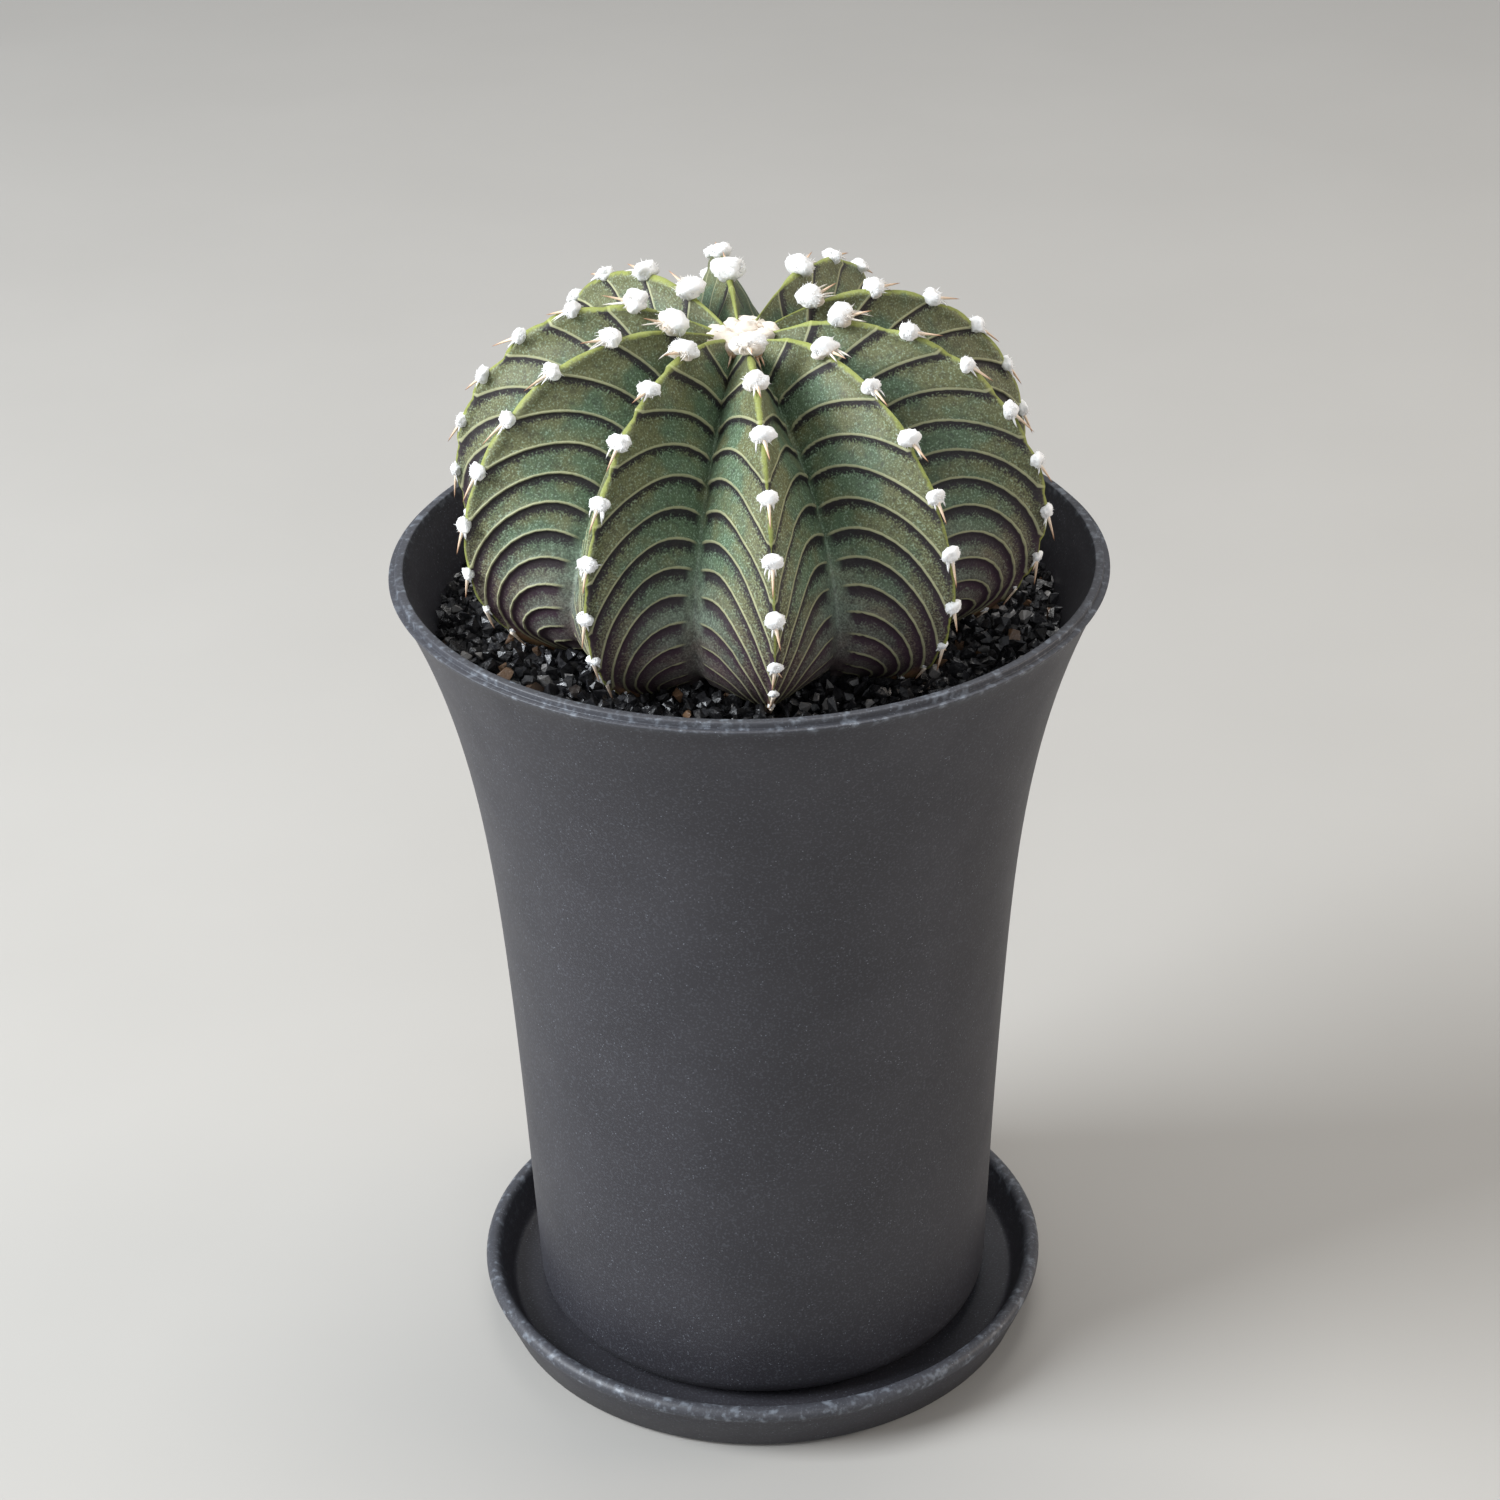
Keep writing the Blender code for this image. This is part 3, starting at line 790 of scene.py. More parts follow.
@dataclass
class Pot:
    """Slim pot that tapers down from a flare under its two-step rim."""

    base_radius: float = 30.7 * MM
    taper: float = 4.6 * MM
    flare_power: float = 5.0
    wall: float = 2.0 * MM
    floor: float = 2.4 * MM
    foot_recess: float = 1.0 * MM
    foot_width: float = 3.0 * MM
    corner: float = 3.2 * MM
    drain_radius: float = 5.0 * MM
    rim_step: float = 0.8 * MM
    rim_ring: float = 1.1 * MM
    nick: float = 0.25 * MM
    steps: int = 256
    wall_rows: int = 40
    # The wall waves a little, but neither by the foot nor by the rim.
    wave_size: float = 40.0 * MM
    wave_height: float = 0.06 * MM
    still_foot: float = 20.0 * MM
    still_rim: float = 12.0 * MM

    def __post_init__(self) -> None:
        """Read the pot's place from the frame."""
        low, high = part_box("pot")
        self.bottom = low.z
        self.rim = high.z
        self.rim_radius = high.x

    def outer_radius(self, height: float) -> float:
        """Outer radius of the wall at a height."""
        share = (height - self.bottom) / (self.rim - self.bottom)
        flare = self.rim_radius - self.base_radius - self.taper
        return self.base_radius + self.taper * share + flare * share**self.flare_power

    def outline(self) -> list[tuple[float, float, float]]:
        """Closed outline: stepped rim, outer wall, foot, drain hole and inner wall."""
        rim, inner = self.rim, self.rim_radius - self.wall
        wall_foot = self.bottom + self.corner
        corner_radius = self.outer_radius(wall_foot) - self.corner
        rim_foot = rim - 3.2 * self.rim_step
        top = rounded([
            (inner, rim - 2 * self.rim_step, 0.0),
            (inner, rim, self.nick),
            (inner + self.rim_ring, rim, self.nick),
            (inner + self.rim_ring, rim - self.rim_step, 0.6 * self.nick),
            (self.rim_radius, rim - self.rim_step, 1.4 * self.nick),
            (self.outer_radius(rim_foot), rim_foot, 0.0),
        ], 5)
        heights = np.linspace(rim_foot, wall_foot, self.wall_rows)
        points = top[1:-1] + [(self.outer_radius(z), z, 0.0) for z in heights]
        ring_inner = corner_radius - self.foot_width
        recess = self.bottom + self.foot_recess
        inner_floor = recess + self.floor
        points += [(r, z, 0.0) for r, z in arc((corner_radius, wall_foot), self.corner, -8, -90, 9)]
        points += rounded([
            (corner_radius, self.bottom, 0.0),
            (ring_inner, self.bottom, self.nick),
            (ring_inner - self.foot_recess, recess, self.nick),
            (self.drain_radius, recess, self.nick),
            (self.drain_radius, inner_floor, self.nick),
            (corner_radius - self.wall, inner_floor, 0.0),
        ])[1:]
        heights = np.linspace(wall_foot + self.wall, rim - 2 * self.rim_step, self.wall_rows)
        return points + [(self.outer_radius(z) - self.wall, z, 0.0) for z in heights]

    def build(self, material: bpy.types.Material) -> bpy.types.Object:
        """Turn the pot, with the least waviness that a thin moulding has."""
        shape = turned(self.outline(), self.steps)
        wave = ripple(shape.points, self.wave_size, 11) * self.wave_height
        radial = shape.points * np.array((1.0, 1.0, 0.0))
        length = np.maximum(np.linalg.norm(radial, axis=1, keepdims=True), 1e-9)
        heights = shape.points[:, 2]
        fade = ease(heights, self.bottom, self.bottom + self.still_foot)
        fade *= length[:, 0] > self.drain_radius
        fade *= 1 - ease(heights, self.rim - self.still_rim, self.rim)
        shape.points = shape.points + radial / length * (wave * fade)[:, None]
        return shape.piece("pot_shell", material, "charcoal_plastic", stands_for=["pot"])


# ---- plant ----


@dataclass
class Plant:
    """The ribbed body: where its skin lies, and how its bands run."""

    rim: float
    lean_deg: float = 2.4
    shift: float = -0.45 * MM
    first_rib_deg: float = -85.0
    rib_stray_deg: tuple = (0.0, -0.5, -1.1, -2.2, -0.5, 1.9, 2.4, 2.7, 1.3, 0.7)
    rib_girth: tuple = (1.005, 1.0, 1.01, 1.015, 1.015, 1.0, 0.985, 0.975, 0.99, 0.99)
    areole_start: tuple = (0.2, 0.75, 0.4, 0.0, 0.6, 0.3, 0.0, 0.5, 0.0, 0.55)
    # Ridge radius and height, valley radius and height, from the crown to the root neck, in mm.
    stations: tuple = (
        (1.2, 29.0, 1.2, 28.9), (5.0, 30.8, 5.0, 27.9), (10.0, 32.1, 9.0, 26.2),
        (15.6, 32.1, 13.0, 23.7), (21.2, 30.8, 16.8, 21.1), (26.3, 28.2, 20.0, 18.4),
        (30.5, 24.3, 23.0, 15.0), (33.8, 19.6, 25.2, 11.6), (35.9, 14.3, 26.7, 8.0),
        (36.6, 8.6, 27.7, 4.4), (35.5, 3.1, 28.1, 1.2), (33.1, -1.0, 27.2, -1.6),
        (29.5, -4.5, 24.6, -3.8), (24.8, -7.8, 20.8, -6.2), (18.5, -11.5, 16.8, -9.6),
        (11.5, -16.0, 11.0, -15.0), (6.0, -20.5, 6.0, -20.5),
    )
    first_areole: float = 1.75
    areole_pitch: float = 1.45
    areole_crowding: float = 0.03
    first_valley: float = 1.7
    valley_pitch: float = 0.78
    valley_start: float = 0.28
    crown_band: float = -1.2
    last_ridge_band: float = 12.0
    band_curve: tuple = (1.9, 2.4)
    grown_band: float = 8.0
    girth_station: float = 3.0
    widest_station: float = 9.0
    short_step: float = 0.05
    flank_bulge: float = 0.2

    def __post_init__(self) -> None:
        """Work out what the sizes above imply."""
        self.ribs = len(self.rib_stray_deg)
        self.table = np.array(self.stations) * MM
        self.last = len(self.stations) - 1.0
        self.foot_band = (self.last - self.first_valley) / self.valley_pitch
        lean = Matrix.Rotation(math.radians(self.lean_deg), 4, "X")
        self.matrix = Matrix.Translation((self.shift, 0.0, self.rim)) @ lean

    def set_in_pot(self, points: np.ndarray) -> np.ndarray:
        """Move points from the plant's own axis to where it stands in the pot."""
        turn = np.array(self.matrix)
        return points @ turn[:3, :3].T + turn[:3, 3]

    def out_of_pot(self, points: np.ndarray) -> np.ndarray:
        """Move points from the pot's frame to the plant's own axis."""
        turn = np.array(self.matrix.inverted())
        return points @ turn[:3, :3].T + turn[:3, 3]

    def station(self, position: np.ndarray) -> np.ndarray:
        """Read the stations at fractional positions, on a curve through them.

        Args:
            position: Positions from 0, the crown, to the last station.

        Returns:
            Ridge radius and height, valley radius and height, on the last axis.
        """
        place = np.clip(np.asarray(position, float), 0.0, self.last)
        index = np.minimum(place.astype(int), int(self.last) - 1)
        share = (place - index)[..., None]
        here, there = self.table[index], self.table[index + 1]
        before = self.table[np.maximum(index - 1, 0)]
        after = self.table[np.minimum(index + 2, int(self.last))]
        slope_in, slope_out, rise = (there - before) / 2, (after - here) / 2, there - here
        curve = (slope_in + slope_out - 2 * rise) * share**3
        return curve + (3 * rise - 2 * slope_in - slope_out) * share**2 + slope_in * share + here

    def azimuth(self, rib: int) -> float:
        """Azimuth of a rib's ridge, in radians. Rib numbers wrap round."""
        turns, number = divmod(rib, self.ribs)
        even = 360.0 * (turns + number / self.ribs)
        return math.radians(self.first_rib_deg + even + self.rib_stray_deg[number])

    def ridge_station(self, band: np.ndarray) -> np.ndarray:
        """Station where a band's crest meets the ridge, which is also where its areole sits."""
        band = np.asarray(band, float)
        held = np.clip(band, 0.0, self.last_ridge_band)
        place = self.first_areole + self.areole_pitch * held - self.areole_crowding * held**2
        above = self.first_areole * np.minimum(band, 0.0) / -self.crown_band
        left = self.last - (
            self.first_areole + self.areole_pitch * self.last_ridge_band
            - self.areole_crowding * self.last_ridge_band**2
        )
        below = np.maximum(band - self.last_ridge_band, 0.0)
        under = left * below / (self.foot_band - self.last_ridge_band)
        return place + above + under

    def valley_station(self, band: np.ndarray) -> np.ndarray:
        """Station where a band's crest meets the valley."""
        band = np.asarray(band, float)
        above = self.first_valley * np.minimum(band, 0.0) / -self.crown_band
        return self.first_valley + self.valley_pitch * np.maximum(band, 0.0) + above

    def skin(self, rib: int, side: int, across: np.ndarray, position: np.ndarray) -> np.ndarray:
        """Points on the smooth skin, on the plant's own axis.

        Args:
            rib: The rib.
            side: Its flank, -1 or 1.
            across: 0 in the valley, 1 on the ridge.
            position: Station.

        Returns:
            The points, on the last axis.
        """
        values = self.station(position)
        ridge = self.azimuth(rib)
        valley = (ridge + self.azimuth(rib + side)) / 2
        fade = np.minimum(1.0, position / self.girth_station)
        girth = 1 + (self.rib_girth[rib % self.ribs] - 1) * fade
        outer, inner = values[..., 0] * girth, values[..., 2]
        height = values[..., 3] + (values[..., 1] - values[..., 3]) * across
        # A flat flank runs straight between the two lines, a round one turns evenly about the axis.
        flat_x = inner * math.cos(valley) * (1 - across) + outer * math.cos(ridge) * across
        flat_y = inner * math.sin(valley) * (1 - across) + outer * math.sin(ridge) * across
        radius = inner + (outer - inner) * across
        angle = valley + (ridge - valley) * across
        x = flat_x + (radius * np.cos(angle) - flat_x) * self.flank_bulge
        y = flat_y + (radius * np.sin(angle) - flat_y) * self.flank_bulge
        return np.stack([x, y, height], axis=-1)

    def on_ridge(self, rib: int, position: float) -> tuple[Vector, Vector, Vector]:
        """A place on a ridge.

        Args:
            rib: The rib.
            position: Station.

        Returns:
            The point, the way down along the ridge and the way out, on the plant's own axis.
        """
        near = (position, position + self.short_step)
        here, below = (Vector(self.skin(rib, 1, np.array(1.0), np.array(place))) for place in near)
        along = (below - here).normalized()
        angle = self.azimuth(rib)
        outward = along.cross(Vector((-math.sin(angle), math.cos(angle), 0.0))).normalized()
        return here, along, outward

    def radius_below(self, azimuth: np.ndarray, height: np.ndarray) -> np.ndarray:
        """Radius of the tucked-in lower body at an azimuth and a height, on the plant's own axis."""
        places = np.linspace(self.last, self.widest_station, 60)
        values = self.station(places)
        ridge = np.interp(height, values[:, 1], values[:, 0])
        valley = np.interp(height, values[:, 3], values[:, 2])
        centres = np.array([self.azimuth(rib) for rib in range(self.ribs)])
        gap = np.abs((azimuth[:, None] - centres[None, :] + math.pi) % (2 * math.pi) - math.pi)
        across = 1 - np.clip(gap.min(axis=1) / (math.pi / self.ribs), 0.0, 1.0)
        return valley + (ridge - valley) * across


@dataclass
class Body:
    """The fine skin mesh, whose rows follow the bands so that every crest is a clean line."""

    plant: Plant
    across: tuple = (
        0.0, 0.03, 0.075, 0.13, 0.19, 0.26, 0.34, 0.43, 0.52, 0.61, 0.70, 0.78, 0.85, 0.91, 0.95, 0.98,
    )
    rows_in_band: tuple = (0.0, 0.03, 0.065, 0.11, 0.18, 0.29, 0.43, 0.58, 0.73, 0.85, 0.92, 0.965)
    last_fine_band: int = 15
    crest_height: float = 0.17 * MM
    crest_half: float = 0.15 * MM
    terrace: float = 0.36 * MM
    step_width: float = 0.5 * MM
    keel_height: float = 0.28 * MM
    keel_half: float = 0.42 * MM
    swelling: float = 0.42 * MM
    lump: float = 0.16 * MM
    lump_size: float = 11.0 * MM
    knob_size: float = 3.5 * MM
    buried: float = -12.0 * MM

    def bands(self) -> np.ndarray:
        """Band coordinates of the rows: a whole number is a crest."""
        fine = np.add.outer(np.arange(-1, self.last_fine_band), np.array(self.rows_in_band)).ravel()
        coarse = np.linspace(self.last_fine_band, self.plant.foot_band, 10)
        rows = np.concatenate([[self.plant.crown_band], fine, coarse])
        return rows

    def columns(self) -> list[tuple[int, int, float]]:
        """Rib, side and place across the flank of every column, round the plant."""
        found = []
        for rib in range(self.plant.ribs):
            found += [(rib, -1, share) for share in self.across]
            found += [(rib, 1, share) for share in (1.0, *reversed(self.across[1:]))]
        return found

    def grid(self) -> tuple[np.ndarray, np.ndarray, np.ndarray]:
        """Lay out the smooth skin.

        Returns:
            Points, band coordinates and places across the flank, by row and column.
        """
        rows = self.bands()
        plant = self.plant
        points, bands, shares = [], [], []
        fade = ease(rows, plant.crown_band, 0.3) * (1 - ease(rows, self.last_fine_band, plant.foot_band))
        for rib, side, share in self.columns():
            drift = plant.areole_start[rib] - plant.valley_start
            band = rows + fade * (plant.valley_start + drift * float(ease(share, 0.0, 0.3)))
            ridge, valley = plant.ridge_station(band), plant.valley_station(band)
            young, old = plant.band_curve
            curve = young + (old - young) * np.clip(band / plant.grown_band, 0.0, 1.0)
            position = np.minimum(valley + (ridge - valley) * share**curve, plant.last)
            points.append(plant.skin(rib, side, np.full_like(position, share), position))
            bands.append(band)
            shares.append(np.full_like(band, share))
        return np.stack(points, 1), np.stack(bands, 1), np.stack(shares, 1)

    @staticmethod
    def normals(points: np.ndarray) -> tuple[np.ndarray, np.ndarray, np.ndarray]:
        """Outward normals of the grid, and its steps across and down."""
        round_step = (np.roll(points, -1, axis=1) - np.roll(points, 1, axis=1)) / 2
        down_step = np.gradient(points, axis=0)
        normal = np.cross(down_step, round_step)
        normal /= np.maximum(np.linalg.norm(normal, axis=-1, keepdims=True), 1e-15)
        return normal, round_step, down_step

    def relief(self, bands: np.ndarray, across: np.ndarray, pitch: np.ndarray, edge: np.ndarray,
               level: np.ndarray) -> np.ndarray:
        """How far the skin stands out from its smooth form.

        Args:
            bands: Band coordinates.
            across: Places across the flank.
            pitch: Distance between crests.
            edge: Distance from the ridge.
            level: Height above the rim.

        Returns:
            The offset along the normal.
        """
        share = bands - np.floor(bands)
        below, above = share * pitch, (1 - share) * pitch
        low = 1 - ease(level, 4 * MM, 16 * MM)
        shows = ease(across - 0.06 * low, 0.0, 0.12) * ease(bands, -0.5, 0.4)
        crest = np.exp(-((np.minimum(below, above) / self.crest_half) ** 2))
        saw = np.where(below < self.step_width, 1 - ease(below / self.step_width), 0.0)
        saw = np.maximum(saw, share**1.7)
        bands_out = shows * (self.crest_height * crest + self.terrace * saw * np.minimum(1, pitch / (3 * MM)))
        keel = np.exp(-((edge / self.keel_half) ** 2)) * (0.35 + 0.65 * ease(bands, 0.2, 3.0))
        swell = np.sin(math.pi * share) ** 0.8 * ease(bands, -0.3, 0.8)
        wide = np.exp(-((edge / (3.0 * self.keel_half)) ** 2))
        return bands_out + keel * self.keel_height + wide * swell * self.swelling

    def build(self, material: bpy.types.Material) -> bpy.types.Object:
        """Build the skin with its crests, terraces and swollen ridges."""
        points, bands, across = self.grid()
        normal, round_step, down_step = self.normals(points)
        band_step = np.gradient(bands, axis=0)
        area = np.linalg.norm(np.cross(down_step / band_step[..., None], round_step), axis=-1)
        pitch = area / np.maximum(np.linalg.norm(round_step, axis=-1), 1e-12)
        columns = self.columns()
        ridge_column = {rib: i for i, (rib, _, share) in enumerate(columns) if share == 1.0}
        ridges = np.stack([points[:, ridge_column[rib]] for rib, _, _ in columns], 1)
        edge = np.linalg.norm(points - ridges, axis=-1)
        level = points[..., 2]
        out = self.relief(bands, across, pitch, edge, level)
        clear = ease(level, self.buried, 0.0)
        out += self.lump * ripple(points, self.lump_size, 5) * clear
        out += 0.35 * self.lump * ripple(points, self.knob_size, 6) * clear
        placed = self.plant.set_in_pot(points + normal * out[..., None])
        rows, count = placed.shape[:2]
        faces: list[tuple[int, ...]] = []
        for row in range(rows - 1):
            faces += ring_faces(row * count, (row + 1) * count, count)
        flat = placed.reshape(-1, 3)
        ends = np.stack([placed[0].mean(0), placed[-1].mean(0)])
        top, bottom = len(flat), len(flat) + 1
        last = (rows - 1) * count
        for i in range(count):
            j = (i + 1) % count
            faces += [(top, i, j), (bottom, last + j, last + i)]
        marks = {"band": bands, "across": across}
        marks |= {"pitch": pitch / MM, "edge": edge / MM, "level": level / MM}
        padded = {}
        for mark, numbers in marks.items():
            padded[mark] = np.concatenate([numbers.ravel(), [numbers[0].mean(), numbers[-1].mean()]])
        shape = Shape(np.concatenate([flat, ends]), faces, padded)
        return shape.piece("cactus_skin", material, "cactus_skin", stands_for=["cactus_body"])


# ---- wool and spines ----


@dataclass
class Tuft:
    """One woolly cushion: a felted lump with loose fibres, in a local frame of down, side and out."""

    centre: Vector
    down: Vector
    out: Vector
    radius: float
    fibres: int
    seed: int
    tint: float = 0.0
    drips: int = 3
    spread: tuple = (0.84, 1.16, 0.8)
    # Size and height of the lump's knobs, in radii.
    knobs: tuple = ((1.1, 0.13), (0.42, 0.07), (0.18, 0.035))
    droop: tuple = (0.5, 0.0, -0.25)

    def axes(self) -> np.ndarray:
        """Rows: the way down the ridge, to the side, and out."""
        side = self.out.cross(self.down).normalized()
        return np.array([self.down, side, self.out])

    def lump(self, ball: Shape) -> Shape:
        """The felted lump: a ball that is wide, low and lumpy."""
        draw = np.random.default_rng(self.seed)
        shift = draw.uniform(-1, 1, 3) * 40
        scale = np.array(self.spread) * self.radius
        knobbly = np.ones(len(ball.points))
        for seed, (size, height) in enumerate(self.knobs, 21):
            knobbly += height * ripple(ball.points + shift, size, seed)
        local = ball.points * knobbly[:, None] * scale
        foot = np.clip(0.35 + 0.6 * ball.points[:, 0] - 0.6 * ball.points[:, 2], 0, 1) * self.tint
        return Shape(np.array(self.centre) + local @ self.axes(), ball.faces, {"foot": foot})

    def hairs(self) -> Shape:
        """Loose fibres that leave the lump all round, more of them below, and droop down the ridge."""
        draw = np.random.default_rng(self.seed + 5000)
        count = self.fibres
        heading = draw.normal(size=(count, 3))
        heading[:, 2] = np.abs(heading[:, 2]) * 0.9 - 0.3
        heading[:, 0] += 0.3
        heading /= np.linalg.norm(heading, axis=1, keepdims=True)
        scale = np.array(self.spread) * self.radius
        root = heading * scale * 0.86
        curl = draw.normal(size=(count, 3)) * 0.9
        length = self.radius * draw.uniform(0.08, 0.19, count)
        width = draw.uniform(0.04, 0.08, count) * MM
        drip = np.arange(count) < self.drips
        lean = draw.uniform(-0.8, 0.8, count)
        # The first few fibres are thick strands that hang down the ridge.
        fall = np.stack([np.full(count, 0.9), lean, np.full(count, 0.05)], 1)
        fall /= np.linalg.norm(fall, axis=1, keepdims=True)
        heading = np.where(drip[:, None], fall, heading)
        root = np.where(drip[:, None], fall * scale * 0.8, root)
        length = np.where(drip, self.radius * draw.uniform(0.55, 1.15, count), length)
        curl = np.where(drip[:, None], curl * 0.12 - fall * np.array((0.0, 0.5, 0.0)), curl)
        width = np.where(drip, draw.uniform(0.13, 0.22, count) * MM, width)
        rings, sides = 4, 5
        droop = np.array(self.droop)
        points = []
        for ring in range(rings):
            share = ring / rings
            bend = heading + curl * share + droop * share
            middle = root + bend * (length * share)[:, None]
            across = np.cross(heading, np.array((0.3, 0.9, 0.2)))
            across /= np.linalg.norm(across, axis=1, keepdims=True)
            other = np.cross(heading, across)
            for side in range(sides):
                turn = 2 * math.pi * side / sides
                thick = (width * (1 - 0.6 * share))[:, None]
                points.append(middle + (across * math.cos(turn) + other * math.sin(turn)) * thick)
        bend = heading + curl + droop
        points.append(root + bend * length[:, None])
        block = np.stack(points, 1)
        size = block.shape[1]
        strand = tube_faces(rings, sides)
        faces = [tuple(corner + i * size for corner in face) for i in range(count) for face in strand]
        foot = np.repeat(np.clip(0.3 + 0.5 * heading[:, 0], 0, 1) * self.tint, size)
        placed = np.array(self.centre) + block.reshape(-1, 3) @ self.axes()
        return Shape(placed, faces, {"foot": foot})


def ball_shape(subdivisions: int) -> Shape:
    """A unit ball of near-even triangles."""
    mesh = bmesh.new()
    bmesh.ops.create_icosphere(mesh, subdivisions=subdivisions, radius=1.0)
    mesh.verts.ensure_lookup_table()
    points = np.array([vertex.co for vertex in mesh.verts])
    faces = [tuple(vertex.index for vertex in face.verts) for face in mesh.faces]
    mesh.free()
    return Shape(points, faces)


@dataclass
class Spine:
    """One awl-shaped spine that curves a little back towards the ridge."""

    foot: Vector
    heading: Vector
    bend: Vector
    length: float
    radius: float

    def shape(self, rings: int = 7, sides: int = 7) -> Shape:
        """Taper a round shaft to its tip.

        Args:
            rings: Rings along the shaft.
            sides: Points in each ring.

        Returns:
            The closed spine, marked with its length share.
        """
        first = self.heading.orthogonal().normalized()
        second = self.heading.cross(first)
        points, along = [], []
        for ring in range(rings):
            share = ring / rings
            middle = self.foot + (self.heading * share + self.bend * share**2) * self.length
            thick = self.radius * (1 - share) ** 0.7 * (1 + 0.25 * math.exp(-share * 9))
            for side in range(sides):
                turn = 2 * math.pi * side / sides
                points.append(middle + (first * math.cos(turn) + second * math.sin(turn)) * thick)
                along.append(share)
        points.append(self.foot + (self.heading + self.bend) * self.length)
        along.append(1.0)
        faces = tube_faces(rings, sides)
        return Shape(np.array(points), faces, {"along": np.array(along)})


@dataclass
class Areoles:
    """The areoles of every rib: wool above, a spine that points down the ridge below."""

    plant: Plant
    grit_level: float
    modelled: int = 5
    last_number: int = 9
    fibres: int = 170
    spine_length: float = 3.0 * MM
    spine_radius: float = 0.25 * MM
    spine_tilt_deg: float = 14.0
    side_spine_chance: float = 0.1
    # Station shift of the wool below its crest, and how deep the spine's foot sits in it.
    set_back: float = 0.07
    spine_seat: float = 0.55 * MM
    # Radius of the wool, in mm: fresh, where it has grown out, and the least that is left.
    fresh_wool: float = 1.85
    grown_wool: float = 1.16
    worn_wool: float = 0.42
    grown_number: float = 1.6
    worn_number: float = 5.6

    def tuft_radius(self, number: float) -> float:
        """Wool is widest on the young areoles by the crown and thins out with age."""
        if number < self.grown_number:
            wool = self.fresh_wool - 0.43 * max(number, 0.0)
        else:
            wool = self.grown_wool - 0.04 * (number - self.grown_number)
        lost = max(0.0, number - self.worn_number) * 0.27
        return max(wool - lost, self.worn_wool) * MM

    def along_rib(self, rib: int) -> list[tuple[float, float]]:
        """Number and station of every areole of a rib that stands clear of the grit."""
        found = []
        for whole in range(0, self.last_number):
            number = whole + self.plant.areole_start[rib]
            position = float(self.plant.ridge_station(number))
            height = self.plant.station(np.array(position))[1]
            if height > self.grit_level - self.plant.rim + 0.4 * MM:
                found.append((number, position))
        return found

    def build_rib(self, rib: int, ball: Shape, wool: bpy.types.Material, horn: bpy.types.Material) -> None:
        """Build the wool and the spines of one rib.

        Args:
            rib: The rib.
            ball: The unit ball that the lumps are made from.
            wool: Finish of the wool.
            horn: Finish of the spines.
        """
        draw = np.random.default_rng(300 + rib)
        tilt = math.radians(self.spine_tilt_deg)
        lumps, spines = [], []
        for number, position in self.along_rib(rib):
            here, along, outward = self.plant.on_ridge(rib, position + self.set_back)
            side = outward.cross(along)
            radius = self.tuft_radius(number) * draw.uniform(0.93, 1.08)
            centre = here + outward * (0.5 * radius + 0.2 * MM)
            young = float(np.clip(1.2 - 0.45 * number, 0.0, 1.0))
            seed = 1000 * rib + int(number * 10)
            fibres = int(self.fibres * min(1.3, radius / MM))
            tuft = Tuft(centre, along, outward, radius, fibres, seed, 0.25 + 0.75 * young)
            lumps += [tuft.lump(ball), tuft.hairs()]
            sway = draw.uniform(-0.16, 0.16)
            lift = tilt * draw.uniform(0.6, 1.4)
            heading = (along * math.cos(lift) + outward * math.sin(lift) + side * sway).normalized()
            length = self.spine_length * draw.uniform(0.85, 1.15) * (1 - 0.2 * young)
            foot = here + outward * (0.2 * radius + self.spine_seat) + along * 0.35 * radius
            length += 0.6 * radius
            spines.append(Spine(foot, heading, outward * -0.05, length, self.spine_radius).shape())
            for sign in (-1, 1):
                if draw.random() < self.side_spine_chance:
                    spread = along * 0.75 + side * sign * draw.uniform(0.5, 0.9) + outward * 0.15
                    reach = self.spine_length * draw.uniform(0.45, 0.65)
                    thin = 0.7 * self.spine_radius
                    spine = Spine(foot, spread.normalized(), outward * -0.08, reach, thin)
                    spines.append(spine.shape())
        name = f"rib{rib + 1:02d}"
        woolly = Shape.joined(lumps)
        woolly.points = self.plant.set_in_pot(woolly.points)
        nodes = [f"areole_{name}_{number + 1}" for number in range(self.modelled)]
        woolly.piece(f"wool_{name}", wool, "areole_wool", stands_for=nodes)
        horny = Shape.joined(spines)
        horny.points = self.plant.set_in_pot(horny.points)
        horny.piece(f"spines_{name}", horn, "areole_wool")

    def build(self, wool: bpy.types.Material, horn: bpy.types.Material) -> None:
        """Build the areoles of all ribs."""
        ball = ball_shape(3)
        for rib in range(self.plant.ribs):
            self.build_rib(rib, ball, wool, horn)


